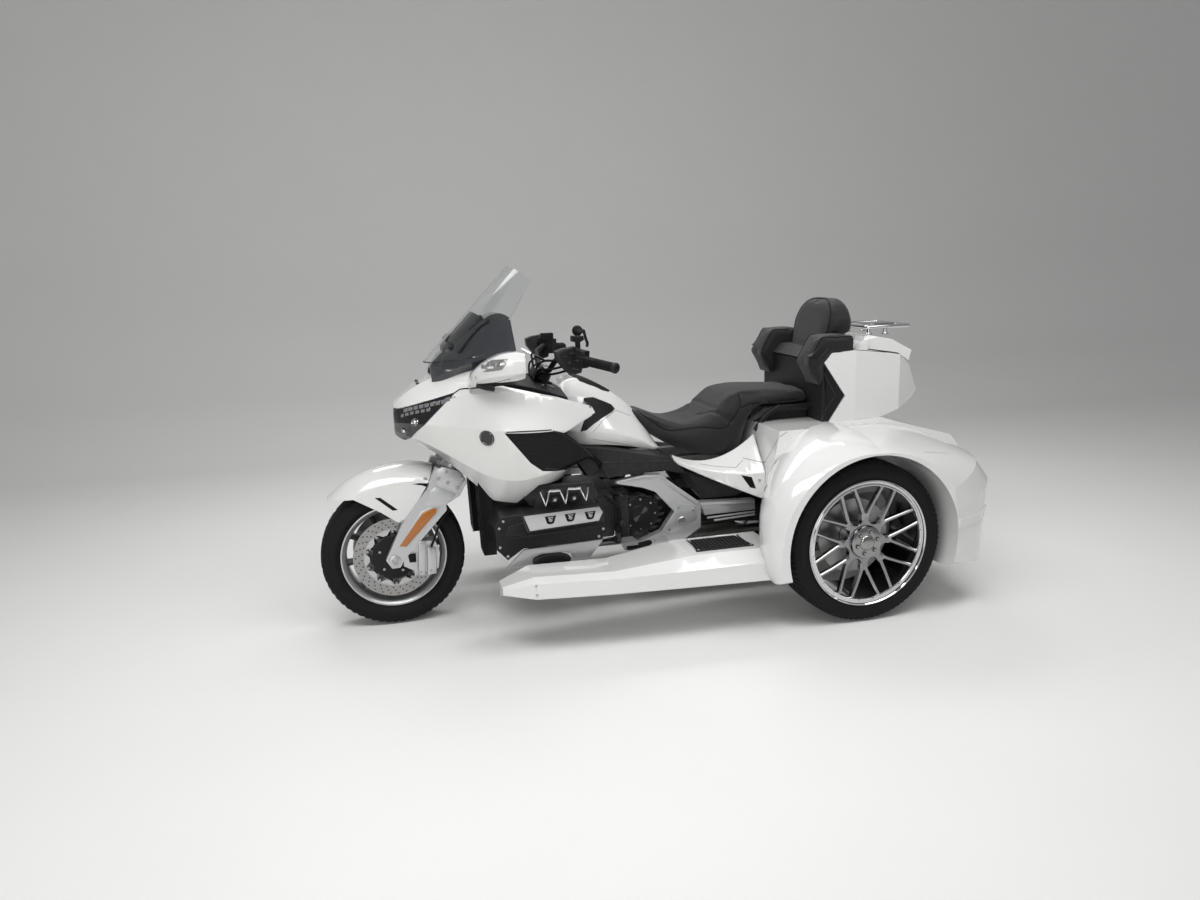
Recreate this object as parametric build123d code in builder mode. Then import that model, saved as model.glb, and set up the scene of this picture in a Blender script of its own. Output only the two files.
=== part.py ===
from build123d import *
import os
from math import cos, radians, sin

# Driving sizes in mm. The machine faces -X, its left side is -Y and the ground is Z = 0.
wheelbase = 1770
rear_overhang = 656
rear_track = 1066
front_tyre_radius = 284
front_tyre_width = 158
front_rim_seat_radius = 191
front_rim_lip_radius = 208
front_rim_width = 124
rear_tyre_radius = 320
rear_tyre_width = 226
rear_rim_seat_radius = 229
rear_rim_lip_radius = 250
rear_rim_width = 222
rim_wall = 8
disc_radius = 160
disc_thickness = 5
disc_offset = 74
spindle_radius = 12
axle_stub_radius = 16
running_gap = 0.4
seat_gap = 0.3
rake = 30.5
trail = 109
bar_rake = 26
bar_pivot_x = 618
bar_pivot_z = 940
stem_radius = 20
bar_pin_radius = 14
handlebar_radius = 11
grip_radius = 17
fork_leg_offset = 92
fork_leg_thickness = 36
fender_side_offset = 104
fender_wall = 4
panel_wall = 6
trunk_wall = 5
lid_gap = 5
deck_z = 738
engine_top_z = 500
engine_rear_x = 890
arm_inner = 214
arm_width = 32
pivot_x = 1146
pivot_z = 368
pivot_radius = 22
wheel_arch_gap = 38
wheel_well_inner = 396
hinge_pin_radius = 4
keel_half_width = 8

front_axle_x = -(wheelbase + rear_overhang - front_tyre_radius) / 2
rear_axle_x = front_axle_x + wheelbase
front_axle_z = front_tyre_radius
rear_axle_z = rear_tyre_radius
rear_tyre_y = rear_track / 2

os.makedirs("parts", exist_ok=True)


def save(builder, name):
    builder.part.label = name
    export_step(builder.part, "parts/" + name + ".step")


def left_plane(out, datum=front_axle_x):
    # X runs rearwards from the datum, Y is the height and extrusions grow outwards to the left
    return Plane(origin=(datum, -out, 0), x_dir=(1, 0, 0), z_dir=(0, -1, 0))


def across_plane(x, datum=front_axle_x):
    # X is the machine's Y, Y is the height
    return Plane.YZ.offset(datum + x)


def trace(points, radius=0):
    # adds a closed outline with rounded corners to the sketch that is open
    face = Polygon(*points, align=None)
    if radius > 0:
        fillet(face.vertices(), radius)


def hull(rows, inset=0, datum=front_axle_x):
    # each row is x, then y and z pairs from the sill up to the crown of the +Y half
    with BuildPart() as solid:
        for row in rows:
            half = [(max(row[i] - inset, keel_half_width), row[i + 1]) for i in range(1, len(row), 2)]
            crown_y, crown_z = half[-1]
            half[-1] = (crown_y, crown_z - inset)
            other_half = [(-y, z) for y, z in reversed(half)]
            with BuildSketch(across_plane(row[0], datum)):
                trace(half + other_half)
        loft()
    return solid.part


def axis_plane(x, z, angle, distance=0):
    # Z runs up and rearwards along an axis that leans back by the angle
    lean = radians(angle)
    plane = Plane(origin=(x, 0, z), x_dir=(cos(lean), 0, -sin(lean)), z_dir=(sin(lean), 0, cos(lean)))
    return plane.offset(distance)


def steer_plane(height):
    return axis_plane(front_axle_x - trail, 0, rake, height / cos(radians(rake)))


def bar_plane(rise):
    return axis_plane(front_axle_x + bar_pivot_x, bar_pivot_z, bar_rake, rise)


# Tyres: crown, two shoulders, two walls and two beads between the rim's lips, turned about the axle
def tyre(x, y, radius, width, seat_radius, lip_radius, rim_width):
    bead = rim_width / 2 - rim_wall - seat_gap
    bead_low = seat_radius + seat_gap
    bead_high = lip_radius + 1
    shoulder = width / 2 - 12
    shoulder_radius = radius - 12
    wall_radius = (bead_high + shoulder_radius) / 2
    centre = Plane(origin=(x, y, radius), x_dir=(0, 1, 0), z_dir=(1, 0, 0))
    with BuildPart() as solid:
        with BuildSketch(centre):
            with BuildLine():
                Polyline((-bead, bead_high), (-bead, bead_low), (bead, bead_low), (bead, bead_high))
                ThreePointArc((bead, bead_high), (width / 2, wall_radius), (shoulder, shoulder_radius))
                ThreePointArc((shoulder, shoulder_radius), (0, radius), (-shoulder, shoulder_radius))
                ThreePointArc((-shoulder, shoulder_radius), (-width / 2, wall_radius), (-bead, bead_high))
            make_face()
        revolve(axis=Axis((x, y, radius), (0, 1, 0)))
    return solid


def rim_profile(seat_radius, lip_radius, rim_width):
    half = rim_width / 2
    return [
        (-half, seat_radius - rim_wall), (half, seat_radius - rim_wall), (half, lip_radius),
        (half - rim_wall, lip_radius), (half - rim_wall, seat_radius), (rim_wall - half, seat_radius),
        (rim_wall - half, lip_radius), (-half, lip_radius),
    ]


# Rear wheels: a lipped barrel, eight forked spokes near the outer face, a hub tube and a brake disc behind
rear_spoke_count = 8
rear_spoke_depth = 26
rear_spoke_inset = 22
rear_hub_radius = 58
rear_hub_inner = 452
rear_hub_tube_radius = 44
rear_boss_radius = 66
rear_boss_height = 20
rear_disc_y = 520
rear_disc_radius = 150
for side, sign in (("left", -1), ("right", 1)):
    rear_tyre = tyre(rear_axle_x, sign * rear_tyre_y, rear_tyre_radius, rear_tyre_width, rear_rim_seat_radius,
                     rear_rim_lip_radius, rear_rim_width)
    save(rear_tyre, "rear_tyre_" + side)
    rim_face = rear_tyre_y + rear_rim_width / 2
    centre = Plane(origin=(rear_axle_x, sign * rear_tyre_y, rear_axle_z), x_dir=(0, 1, 0), z_dir=(1, 0, 0))
    face = Plane(origin=(rear_axle_x, sign * (rim_face - rear_spoke_inset), rear_axle_z), x_dir=(1, 0, 0),
                 z_dir=(0, sign, 0))
    axle = Plane(origin=(rear_axle_x, sign * rear_hub_inner, rear_axle_z), x_dir=(1, 0, 0), z_dir=(0, sign, 0))
    spoke_reach = rear_rim_seat_radius - rim_wall + 1
    arm_rise = spoke_reach * sin(radians(15))
    arm_run = spoke_reach * cos(radians(15))
    with BuildPart() as rear_rim:
        with BuildSketch(centre):
            trace(rim_profile(rear_rim_seat_radius, rear_rim_lip_radius, rear_rim_width))
        revolve(axis=Axis((rear_axle_x, 0, rear_axle_z), (0, 1, 0)))
        with BuildSketch(face):
            with PolarLocations(0, rear_spoke_count):
                Polygon((40, -14), (100, -12), (arm_run, -arm_rise - 6), (arm_run, -arm_rise + 6), (118, 0),
                        (arm_run, arm_rise - 6), (arm_run, arm_rise + 6), (100, 12), (40, 14), align=None)
            Circle(rear_hub_radius)
        extrude(amount=-rear_spoke_depth)
        with BuildSketch(face):
            Circle(rear_boss_radius)
        extrude(amount=rear_boss_height, taper=12)
        with BuildSketch(axle):
            Circle(rear_hub_tube_radius)
        extrude(amount=rim_face - rear_spoke_inset - rear_hub_inner)
        with BuildSketch(axle.offset(rear_disc_y - rear_hub_inner)):
            Circle(rear_disc_radius)
        extrude(amount=disc_thickness * 2)
        with BuildSketch(axle):
            Circle(axle_stub_radius + running_gap)
        extrude(amount=rim_face - rear_spoke_inset - rear_hub_inner - 30, mode=Mode.SUBTRACT)
    save(rear_rim, "rear_rim_" + side)

# Front wheel: ten thin spokes, and a disc on each side of the hub
front_tyre = tyre(front_axle_x, 0, front_tyre_radius, front_tyre_width, front_rim_seat_radius,
                  front_rim_lip_radius, front_rim_width)
save(front_tyre, "front_tyre")
front_hub_half = disc_offset - disc_thickness / 2
front_spoke_reach = front_rim_seat_radius - rim_wall + 1
front_centre = Plane(origin=(front_axle_x, 0, front_axle_z), x_dir=(0, 1, 0), z_dir=(1, 0, 0))
front_face = Plane(origin=(front_axle_x, 0, front_axle_z), x_dir=(1, 0, 0), z_dir=(0, 1, 0))
with BuildPart() as front_rim:
    with BuildSketch(front_centre):
        trace(rim_profile(front_rim_seat_radius, front_rim_lip_radius, front_rim_width))
    revolve(axis=Axis((front_axle_x, 0, front_axle_z), (0, 1, 0)))
    with BuildSketch(front_face):
        with PolarLocations(0, 10):
            Polygon((25, -11), (front_spoke_reach, -7), (front_spoke_reach, 7), (25, 11), align=None)
    extrude(amount=18, both=True)
    with BuildSketch(front_face):
        Circle(42)
    extrude(amount=front_hub_half, both=True)
    with BuildSketch(front_face):
        Circle(spindle_radius + running_gap)
    extrude(amount=front_hub_half + 1, both=True, mode=Mode.SUBTRACT)
save(front_rim, "front_rim")

with BuildPart() as front_discs:
    for sign in (-1, 1):
        disc_plane = Plane(origin=(front_axle_x, sign * front_hub_half, front_axle_z), x_dir=(1, 0, 0),
                           z_dir=(0, sign, 0))
        with BuildSketch(disc_plane):
            Circle(disc_radius)
            Circle(112, mode=Mode.SUBTRACT)
            with PolarLocations(0, 8):
                Polygon((30, -9), (114, -14), (114, 14), (30, 9), align=None)
            Circle(40)
            Circle(spindle_radius + 6, mode=Mode.SUBTRACT)
        extrude(amount=disc_thickness)
save(front_discs, "front_discs")

# Fork: two flat cast legs, the bridge over the tyre, the stem and the wheel spindle
fork_leg_rows = [
    # x, z
    (-34, 290), (34, 424), (142, 560), (180, 646), (279, 622), (300, 578), (268, 524), (212, 494), (214, 472),
    (36, 285), (20, 256), (-12, 254),
]
fork_bridge_rows = [(188, 566), (262, 535), (294, 575), (274, 616), (200, 634)]
with BuildPart() as fork:
    with BuildSketch(left_plane(fork_leg_offset)):
        trace(fork_leg_rows, 8)
    extrude(amount=fork_leg_thickness)
    with BuildSketch(left_plane(-fork_leg_offset)):
        trace(fork_leg_rows, 8)
    extrude(amount=-fork_leg_thickness)
    with BuildSketch(left_plane(-fork_leg_offset)):
        trace(fork_bridge_rows)
    extrude(amount=2 * fork_leg_offset)
    with BuildSketch(steer_plane(590)):
        Circle(stem_radius)
    extrude(amount=230)
    with BuildSketch(steer_plane(600)):
        Circle(46)
    extrude(amount=40)
    with BuildSketch(left_plane(-fork_leg_offset - 2)):
        with Locations((0, front_axle_z)):
            Circle(spindle_radius)
    extrude(amount=2 * fork_leg_offset + 4)
save(fork, "fork")

# Front fender: a crowned shell turned about a centre behind the axle, trimmed to its outline
fender_centre_x = 55
fender_centre_z = 235
fender_crown_radius = 420
fender_rows = [
    # x, z
    (-240, 530), (-235, 700), (176, 700), (178, 640), (141, 566), (50, 430), (22, 434), (-38, 479), (-138, 540),
    (-212, 534),
]


def fender_shape(reduce):
    crown = fender_crown_radius - reduce
    side = fender_side_offset - reduce
    plane = Plane(origin=(front_axle_x + fender_centre_x, 0, fender_centre_z), x_dir=(0, 1, 0), z_dir=(1, 0, 0))
    with BuildPart() as shape:
        with BuildSketch(plane):
            with BuildLine():
                Line((-side, 100), (side, 100))
                Line((side, 100), (side, crown - 60))
                ThreePointArc((side, crown - 60), (0, crown), (-side, crown - 60))
                Line((-side, crown - 60), (-side, 100))
            make_face()
        revolve(axis=Axis((front_axle_x + fender_centre_x, 0, fender_centre_z), (0, 1, 0)))
    return shape.part


fender_outer = fender_shape(0)
fender_inner = fender_shape(fender_wall)
with BuildPart() as front_fender:
    with BuildSketch(left_plane(-150)):
        trace(fender_rows)
    extrude(amount=300)
    add(fender_outer, mode=Mode.INTERSECT)
    add(fender_inner, mode=Mode.SUBTRACT)
    add(fork.part, mode=Mode.SUBTRACT)
save(front_fender, "front_fender")

# Brake calipers over the rear of each disc, bolted to the legs
caliper_rows = [(66, 352), (160, 350), (176, 300), (168, 234), (104, 222), (84, 262), (52, 300)]
with BuildPart() as calipers:
    for sign in (-1, 1):
        with BuildSketch(left_plane(sign * 60)):
            trace(caliper_rows, 6)
        extrude(amount=sign * 60)
        with BuildSketch(left_plane(sign * (disc_offset - 5))):
            with Locations((0, front_axle_z)):
                Circle(disc_radius + 4)
        extrude(amount=sign * 10, mode=Mode.SUBTRACT)
    add(fork.part, mode=Mode.SUBTRACT)
save(calipers, "calipers")

# Front frame: head tube, two beams down to the engine and an upright to the handlebar pivot
beam_foot_z = engine_top_z + seat_gap
beam_rows = [(300, 690), (350, 800), (420, 812), (590, 925), (640, 905), (520, 790), (700, 600),
             (690, beam_foot_z), (600, beam_foot_z), (400, 660)]
with BuildPart() as front_frame:
    for sign in (-1, 1):
        with BuildSketch(left_plane(sign * 44)):
            trace(beam_rows, 6)
        extrude(amount=sign * 30)
    with BuildSketch(steer_plane(660)):
        Circle(46)
    extrude(amount=150)
    with BuildSketch(bar_plane(-50)):
        Circle(46)
    extrude(amount=60)
    with BuildSketch(steer_plane(640)):
        Circle(stem_radius + running_gap)
    extrude(amount=200, mode=Mode.SUBTRACT)
    with BuildSketch(bar_plane(-60)):
        Circle(bar_pin_radius + running_gap)
    extrude(amount=90, mode=Mode.SUBTRACT)
save(front_frame, "front_frame")

# Handlebar: pivot pin, clamp and a bent tube
bar_rows = [
    # x, y, z
    (650, 30, 984), (650, 120, 1000), (658, 200, 1044), (700, 254, 1062), (822, 450, 1034),
]
with BuildPart() as handlebar:
    with BuildSketch(bar_plane(-48)):
        Circle(bar_pin_radius)
    extrude(amount=90)
    with BuildSketch(bar_plane(16)):
        RectangleRounded(70, 110, 10)
    extrude(amount=34)
    for sign in (-1, 1):
        points = [(front_axle_x + x, sign * y, z) for x, y, z in bar_rows]
        with BuildLine() as run:
            FilletPolyline(*points, radius=30)
        with BuildSketch(Plane(origin=run.line @ 0, z_dir=run.line % 0)):
            Circle(handlebar_radius)
        sweep(path=run.line)
save(handlebar, "handlebar")

# Hand controls: grips, switch boxes and levers, with a reservoir on the right and a ball holder on the left
grip_length = 156
switch_length = 52
switch_depth = 66
switch_height = 64
lever_thickness = 10
lever_reach = 58
lever_rise = 22
reservoir_length = 50
reservoir_height = 30
holder_height = 80
holder_radius = 20
with BuildPart() as hand_controls:
    for sign in (-1, 1):
        inner_x, inner_y, inner_z = bar_rows[-2]
        outer_x, outer_y, outer_z = bar_rows[-1]
        inner = Vector(front_axle_x + inner_x, sign * inner_y, inner_z)
        outer = Vector(front_axle_x + outer_x, sign * outer_y, outer_z)
        along = (outer - inner).normalized()
        grip_root = outer - along * (grip_length - 2)
        switch_root = grip_root - along * (switch_length + 2)
        with BuildSketch(Plane(origin=grip_root, z_dir=along)):
            Circle(grip_radius)
            Circle(handlebar_radius + seat_gap, mode=Mode.SUBTRACT)
        extrude(amount=grip_length)
        with BuildSketch(Plane(origin=switch_root, z_dir=along)):
            Rectangle(switch_depth, switch_height)
            Circle(handlebar_radius + seat_gap, mode=Mode.SUBTRACT)
        extrude(amount=switch_length)
        reach = Vector(-lever_reach, 0, lever_rise)
        lever_bend = grip_root + reach
        for start, end in ((switch_root + reach * 0.4, lever_bend), (lever_bend, outer - along * 20 + reach)):
            run_along = (end - start).normalized()
            with BuildSketch(Plane(origin=start, z_dir=run_along)):
                Rectangle(lever_thickness, lever_thickness)
            extrude(amount=(end - start).length + lever_thickness / 2)
        box_top = switch_root + along * switch_length / 2 + Vector(0, 0, switch_height / 2 - 6)
        with BuildSketch(Plane(origin=box_top)):
            if sign > 0:
                Rectangle(reservoir_length, reservoir_length * 0.8)
            else:
                Circle(holder_radius / 2)
        extrude(amount=reservoir_height if sign > 0 else holder_height)
        if sign < 0:
            with Locations(box_top + Vector(0, 0, holder_height)):
                Sphere(holder_radius, arc_size2=70)
save(hand_controls, "hand_controls")

# Engine: a block across the frame, two opposed heads and their covers
engine_rows = [(390, 300), (engine_rear_x, 300), (engine_rear_x, engine_top_z), (590, engine_top_z), (440, 480),
               (390, 430)]
with BuildPart() as engine_block:
    with BuildSketch(left_plane(-150)):
        trace(engine_rows, 10)
    extrude(amount=300)
save(engine_block, "engine_block")

head_rows = [(358, 450), (388, 492), (480, 497), (802, 484), (800, 404), (782, 362), (475, 356), (412, 310),
             (366, 358)]
head_inner = 240
manifold_rows = [(522, 470), (560, 560), (742, 560), (790, 470)]
runner_inner = 294
runner_length = 42
runner_z = 505
runner_places = (571, 649, 730)
runner_cap_places = (610, 689)
with BuildPart() as cylinder_heads:
    for sign in (-1, 1):
        with BuildSketch(left_plane(sign * 150)):
            trace([(395, 470), (480, 490), (790, 478), (790, 350), (480, 340), (400, 340)])
        extrude(amount=sign * 90)
        with BuildSketch(left_plane(sign * head_inner)):
            trace(head_rows)
        extrude(amount=sign * 128, taper=5)
        with BuildSketch(left_plane(sign * head_inner)):
            trace(manifold_rows)
        extrude(amount=sign * (runner_inner - head_inner))
save(cylinder_heads, "cylinder_heads")

# Silver strips and lower guards on the heads, and three V-shaped intake runners over each head
with BuildPart() as engine_trims:
    for sign in (-1, 1):
        with BuildSketch(left_plane(sign * runner_inner)):
            with Locations(*[(x, runner_z) for x in runner_places]):
                Polygon((-22, 56), (-13, 56), (0, 17), (13, 56), (22, 56), (5, 0), (-5, 0), align=None)
            with Locations(*[(x, runner_z + 58) for x in runner_cap_places]):
                Rectangle(46, 9)
        extrude(amount=sign * runner_length)
        with BuildSketch(left_plane(sign * 368)):
            trace([(484, 486), (776, 476), (790, 428), (512, 430)], 4)
        extrude(amount=sign * 10)
        with BuildSketch(left_plane(sign * 300)):
            trace([(404, 303), (474, 352), (782, 358), (742, 296)], 4)
        extrude(amount=sign * 62)
        with BuildSketch(left_plane(sign * 290)):
            trace([(500, 350), (760, 352), (760, 380), (500, 380)])
        extrude(amount=sign * 40)
    add(cylinder_heads.part, mode=Mode.SUBTRACT)
save(engine_trims, "engine_trims")

# Gearbox with a round cover and cooling ribs on each flank
gearbox_x = engine_rear_x + seat_gap
gearbox_rib_z = (334, 362, 390, 418, 446)
with BuildPart() as gearbox:
    for sign in (-1, 1):
        with BuildSketch(left_plane(sign * 150)):
            with Locations((985, 400)):
                Circle(78)
        extrude(amount=sign * 55)
        with BuildSketch(left_plane(sign * 150)):
            with Locations(*[(980, z) for z in gearbox_rib_z]):
                Rectangle(170, 9)
        extrude(amount=sign * 48)
        with BuildSketch(left_plane(sign * 60)):
            trace([(gearbox_x, 490), (1010, 470), (1096, 402), (1040, 322), (910, 296), (gearbox_x, 310)])
        extrude(amount=sign * 140, taper=8)
    with BuildSketch(left_plane(-60)):
        trace([(gearbox_x, 300), (1090, 300), (1090, 480), (gearbox_x, 490)])
    extrude(amount=120)
save(gearbox, "gearbox")

# Main frame: cast side arms round the gearbox, the pivot tube and the seat rails beside the front beams
arm_rows = [(850, 552), (997, 571), (1062, 566), (1234, 432), (1232, 330), (1085, 238), (1008, 240), (953, 260),
            (972, 296), (1062, 330), (1118, 408), (1038, 498), (985, 520)]
rail_top_z = 605
rail_rear_x = 1480
rail_inner = 74 + seat_gap
with BuildPart() as main_frame:
    for sign in (-1, 1):
        with BuildSketch(left_plane(sign * arm_inner)):
            trace(arm_rows, 6)
        extrude(amount=sign * arm_width)
        with BuildSketch(left_plane(sign * rail_inner)):
            trace([(600, 640), (660, 700), (1000, rail_top_z), (rail_rear_x, rail_top_z), (rail_rear_x, 562),
                   (1000, 562), (700, 570)])
        extrude(amount=sign * 40)
        with BuildSketch(left_plane(sign * (rail_inner + 20))):
            trace([(1000, 530), (1090, 500), (1090, 575), (1000, 575)])
        extrude(amount=sign * 130)
    with BuildSketch(left_plane(-arm_inner - 6)):
        with Locations((pivot_x, pivot_z)):
            Circle(pivot_radius)
    extrude(amount=2 * arm_inner + 12)
save(main_frame, "main_frame")

# Rear axle: torque arm from the pivot, housing and axle tubes with the wheel stubs
with BuildPart() as rear_axle:
    for sign in (-1, 1):
        with BuildSketch(left_plane(sign * 120)):
            trace([(1112, 334), (1112, 402), (1190, 404), (1700, 360), (1700, 290), (1190, 334)], 8)
        extrude(amount=sign * 44)
    with BuildSketch(left_plane(-arm_inner)):
        with Locations((pivot_x, pivot_z)):
            Circle(pivot_radius + seat_gap)
    extrude(amount=2 * arm_inner, mode=Mode.SUBTRACT)
    with BuildSketch(left_plane(-100)):
        with Locations((wheelbase, rear_axle_z)):
            Circle(105)
    extrude(amount=200)
    with BuildSketch(left_plane(-440)):
        with Locations((wheelbase, rear_axle_z)):
            Circle(38)
    extrude(amount=880)
    with BuildSketch(left_plane(-164)):
        trace([(1660, 300), (1770, 286), (1770, 350), (1660, 350)])
    extrude(amount=328)
    with BuildSketch(left_plane(-rear_tyre_y - 40)):
        with Locations((wheelbase, rear_axle_z)):
            Circle(axle_stub_radius)
    extrude(amount=2 * rear_tyre_y + 80)
save(rear_axle, "rear_axle")

# Front bodywork: one master shape from which the nose, lamps, side panels and vents are cut
fairing_sections = [
    # x, sill y z, waist y z, crease y z, shoulder y z, crown y z
    (40, 25, 772, 45, 790, 60, 822, 50, 862, 25, 886),
    (120, 80, 735, 135, 762, 170, 830, 130, 905, 60, 955),
    (260, 140, 630, 236, 690, 262, 820, 225, 935, 110, 1020),
    (420, 230, 480, 325, 620, 375, 815, 325, 950, 150, 1035),
    (600, 250, 540, 345, 640, 385, 805, 330, 925, 150, 975),
    (820, 240, 560, 285, 650, 300, 800, 265, 875, 120, 905),
]
fairing_outer = hull(fairing_sections)
fairing_middle = hull(fairing_sections, panel_wall)
fairing_inner = hull(fairing_sections, 2 * panel_wall)
fairing_core = hull(fairing_sections, 5 * panel_wall)
fairing_rows = [
    # x, z
    (96, 764), (118, 798), (262, 942), (286, 957), (435, 971), (530, 948), (638, 919), (776, 870), (791, 844),
    (648, 790), (611, 803), (422, 807), (516, 685), (563, 647), (711, 627), (750, 585), (552, 586), (471, 513),
    (388, 521), (269, 634),
]
fairings = []
for side, sign in (("left", 1), ("right", -1)):
    with BuildPart() as fairing:
        with BuildSketch(left_plane(sign * 60)):
            trace(fairing_rows)
        extrude(amount=sign * 400)
        add(fairing_outer, mode=Mode.INTERSECT)
        add(fairing_middle, mode=Mode.SUBTRACT)
    fairings.append(fairing.part)
    save(fairing, "fairing_" + side)

with BuildPart() as front_cowl:
    with BuildSketch(left_plane(-300)):
        trace([(20, 872), (57, 879), (262, 946), (286, 961), (345, 967), (345, 1100), (20, 1100)])
    extrude(amount=600)
    add(fairing_outer, mode=Mode.INTERSECT)
    add(fairing_middle, mode=Mode.SUBTRACT)
save(front_cowl, "front_cowl")

with BuildPart() as headlights:
    with BuildSketch(left_plane(-300)):
        trace([(20, 871), (57, 878), (258, 943), (116, 799), (94, 764), (60, 740), (20, 740)])
    extrude(amount=600)
    add(fairing_outer, mode=Mode.INTERSECT)
    add(fairing_core, mode=Mode.SUBTRACT)
save(headlights, "headlights")

vent_rows = [(400, 820), (611, 820), (665, 780), (818, 640), (812, 600), (700, 596), (563, 610), (500, 670)]
with BuildPart() as vent_panels:
    for sign in (-1, 1):
        with BuildSketch(left_plane(sign * 150)):
            trace(vent_rows)
        extrude(amount=sign * 300)
    add(fairing_middle, mode=Mode.INTERSECT)
    add(fairing_inner, mode=Mode.SUBTRACT)
save(vent_panels, "vent_panels")

# Tank cover and the dark covers below it
tank_sections = [
    # x, sill y z, side y z, shoulder y z, crown y z
    (690, 190, 715, 215, 770, 150, 885, 60, 925),
    (750, 205, 706, 225, 765, 160, 895, 70, 955),
    (900, 200, 690, 215, 740, 150, 830, 70, 898),
    (1000, 180, 668, 190, 705, 120, 770, 50, 818),
    (1085, 160, 655, 165, 662, 110, 668, 50, 674),
]
tank_shape = hull(tank_sections)
with BuildPart() as tank_cover:
    add(tank_shape)
save(tank_cover, "tank_cover")

cover_rows = [(640, 770), (740, 709), (800, 702), (1030, 655), (1110, 636), (1196, 548), (1060, 580),
              (850, 566), (760, 580)]
under_seat_rows = [(1120, 600), (1205, 548), (1440, 452), (1400, 440), (1250, 440)]
with BuildPart() as side_covers:
    for sign in (-1, 1):
        with BuildSketch(left_plane(sign * 196)):
            trace(cover_rows)
        extrude(amount=sign * 45, taper=8)
        with BuildSketch(left_plane(sign * 150)):
            trace(under_seat_rows)
        extrude(amount=sign * 60)
    add(tank_shape, mode=Mode.SUBTRACT)
    add(vent_panels.part, mode=Mode.SUBTRACT)
    add(main_frame.part, mode=Mode.SUBTRACT)
save(side_covers, "side_covers")

# Cockpit deck between the side panels, with the instrument hood on it
with BuildPart() as dash_cowl:
    with BuildSketch(left_plane(-270)):
        trace([(346, 890), (346, 1060), (545, 1060), (570, 956), (688, 930), (688, 860), (560, 860)])
    extrude(amount=540)
    add(fairing_middle, mode=Mode.INTERSECT)
    with BuildSketch(left_plane(-140)):
        trace([(420, 1000), (470, 1130), (500, 1120), (500, 1000)], 6)
    extrude(amount=280)
    with BuildSketch(bar_plane(-90)):
        Circle(72)
    extrude(amount=200, mode=Mode.SUBTRACT)
    add(front_frame.part, mode=Mode.SUBTRACT)
    for fairing_side in fairings:
        add(fairing_side, mode=Mode.SUBTRACT)
save(dash_cowl, "dash_cowl")

screen_cowl_sections = [
    # x, sill y z, side y z, crown y z
    (190, 90, 960, 110, 990, 40, 1030),
    (250, 130, 980, 160, 1020, 60, 1092),
    (330, 150, 1010, 190, 1050, 80, 1150),
    (420, 170, 1000, 205, 1070, 70, 1215),
    (512, 180, 985, 205, 1060, 60, 1205),
]
screen_cowl_outer = hull(screen_cowl_sections)
screen_cowl_inner = hull(screen_cowl_sections, panel_wall)
with BuildPart() as screen_cowl:
    add(screen_cowl_outer)
    add(screen_cowl_inner, mode=Mode.SUBTRACT)
    for sign in (-1, 1):
        with BuildSketch(left_plane(sign * 46)):
            trace([(242, 1106), (368, 1234), (398, 1216), (300, 1118), (242, 1082)])
        extrude(amount=sign * 20)
    add(fairing_outer, mode=Mode.SUBTRACT)
    add(dash_cowl.part, mode=Mode.SUBTRACT)
save(screen_cowl, "screen_cowl")

# Windscreen: a curved sheet lofted along its slope and cut off along a rising foot line
screen_foot_x = 164
screen_foot_z = 1043
screen_lean = 44.4
screen_wall = 5
screen_sections = [
    # distance up the slope, half width, sweep back at the edge
    (-40, 235, 125),
    (240, 262, 118),
    (509, 205, 68),
]
screen_trim_rows = [(140, 1041), (380, 1086), (900, 1086), (900, 1600), (140, 1600)]
with BuildPart() as windscreen:
    slope = axis_plane(front_axle_x + screen_foot_x, screen_foot_z, screen_lean)
    for distance, half_width, sweep_back in screen_sections:
        sheet_plane = Plane(origin=slope.offset(distance).origin, x_dir=(0, 1, 0), z_dir=slope.z_dir)
        with BuildSketch(sheet_plane):
            with BuildLine():
                ThreePointArc((-half_width, -sweep_back), (0, 0), (half_width, -sweep_back))
                Line((half_width, -sweep_back), (half_width, -sweep_back - screen_wall))
                ThreePointArc((half_width, -sweep_back - screen_wall), (0, -screen_wall),
                              (-half_width, -sweep_back - screen_wall))
                Line((-half_width, -sweep_back - screen_wall), (-half_width, -sweep_back))
            make_face()
    loft()
    with BuildSketch(left_plane(-400)):
        trace(screen_trim_rows)
    extrude(amount=800, mode=Mode.INTERSECT)
    add(screen_cowl_outer, mode=Mode.SUBTRACT)
save(windscreen, "windscreen")

# Mirrors: housings grown out of the upper edge of the fairing
mirror_sections = [
    # x, y centre, z centre, half width, half height
    (318, 236, 968, 34, 26),
    (400, 378, 1046, 60, 46),
    (470, 396, 1056, 66, 50),
    (500, 396, 1056, 58, 44),
]
mirror_corner = 0.55
with BuildPart() as mirrors:
    for sign in (-1, 1):
        for x, y, z, half_width, half_height in mirror_sections:
            cut = mirror_corner * half_height
            quarter = [(half_width, half_height - cut), (half_width - cut, half_height)]
            upper = quarter + [(-u, v) for u, v in reversed(quarter)]
            lower = [(-u, -v) for u, v in upper]
            with BuildSketch(across_plane(x)):
                trace([(sign * y + u, z + v) for u, v in upper + lower])
        loft()
    add(fairing_outer, mode=Mode.SUBTRACT)
    add(screen_cowl_outer, mode=Mode.SUBTRACT)
save(mirrors, "mirrors")

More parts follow.
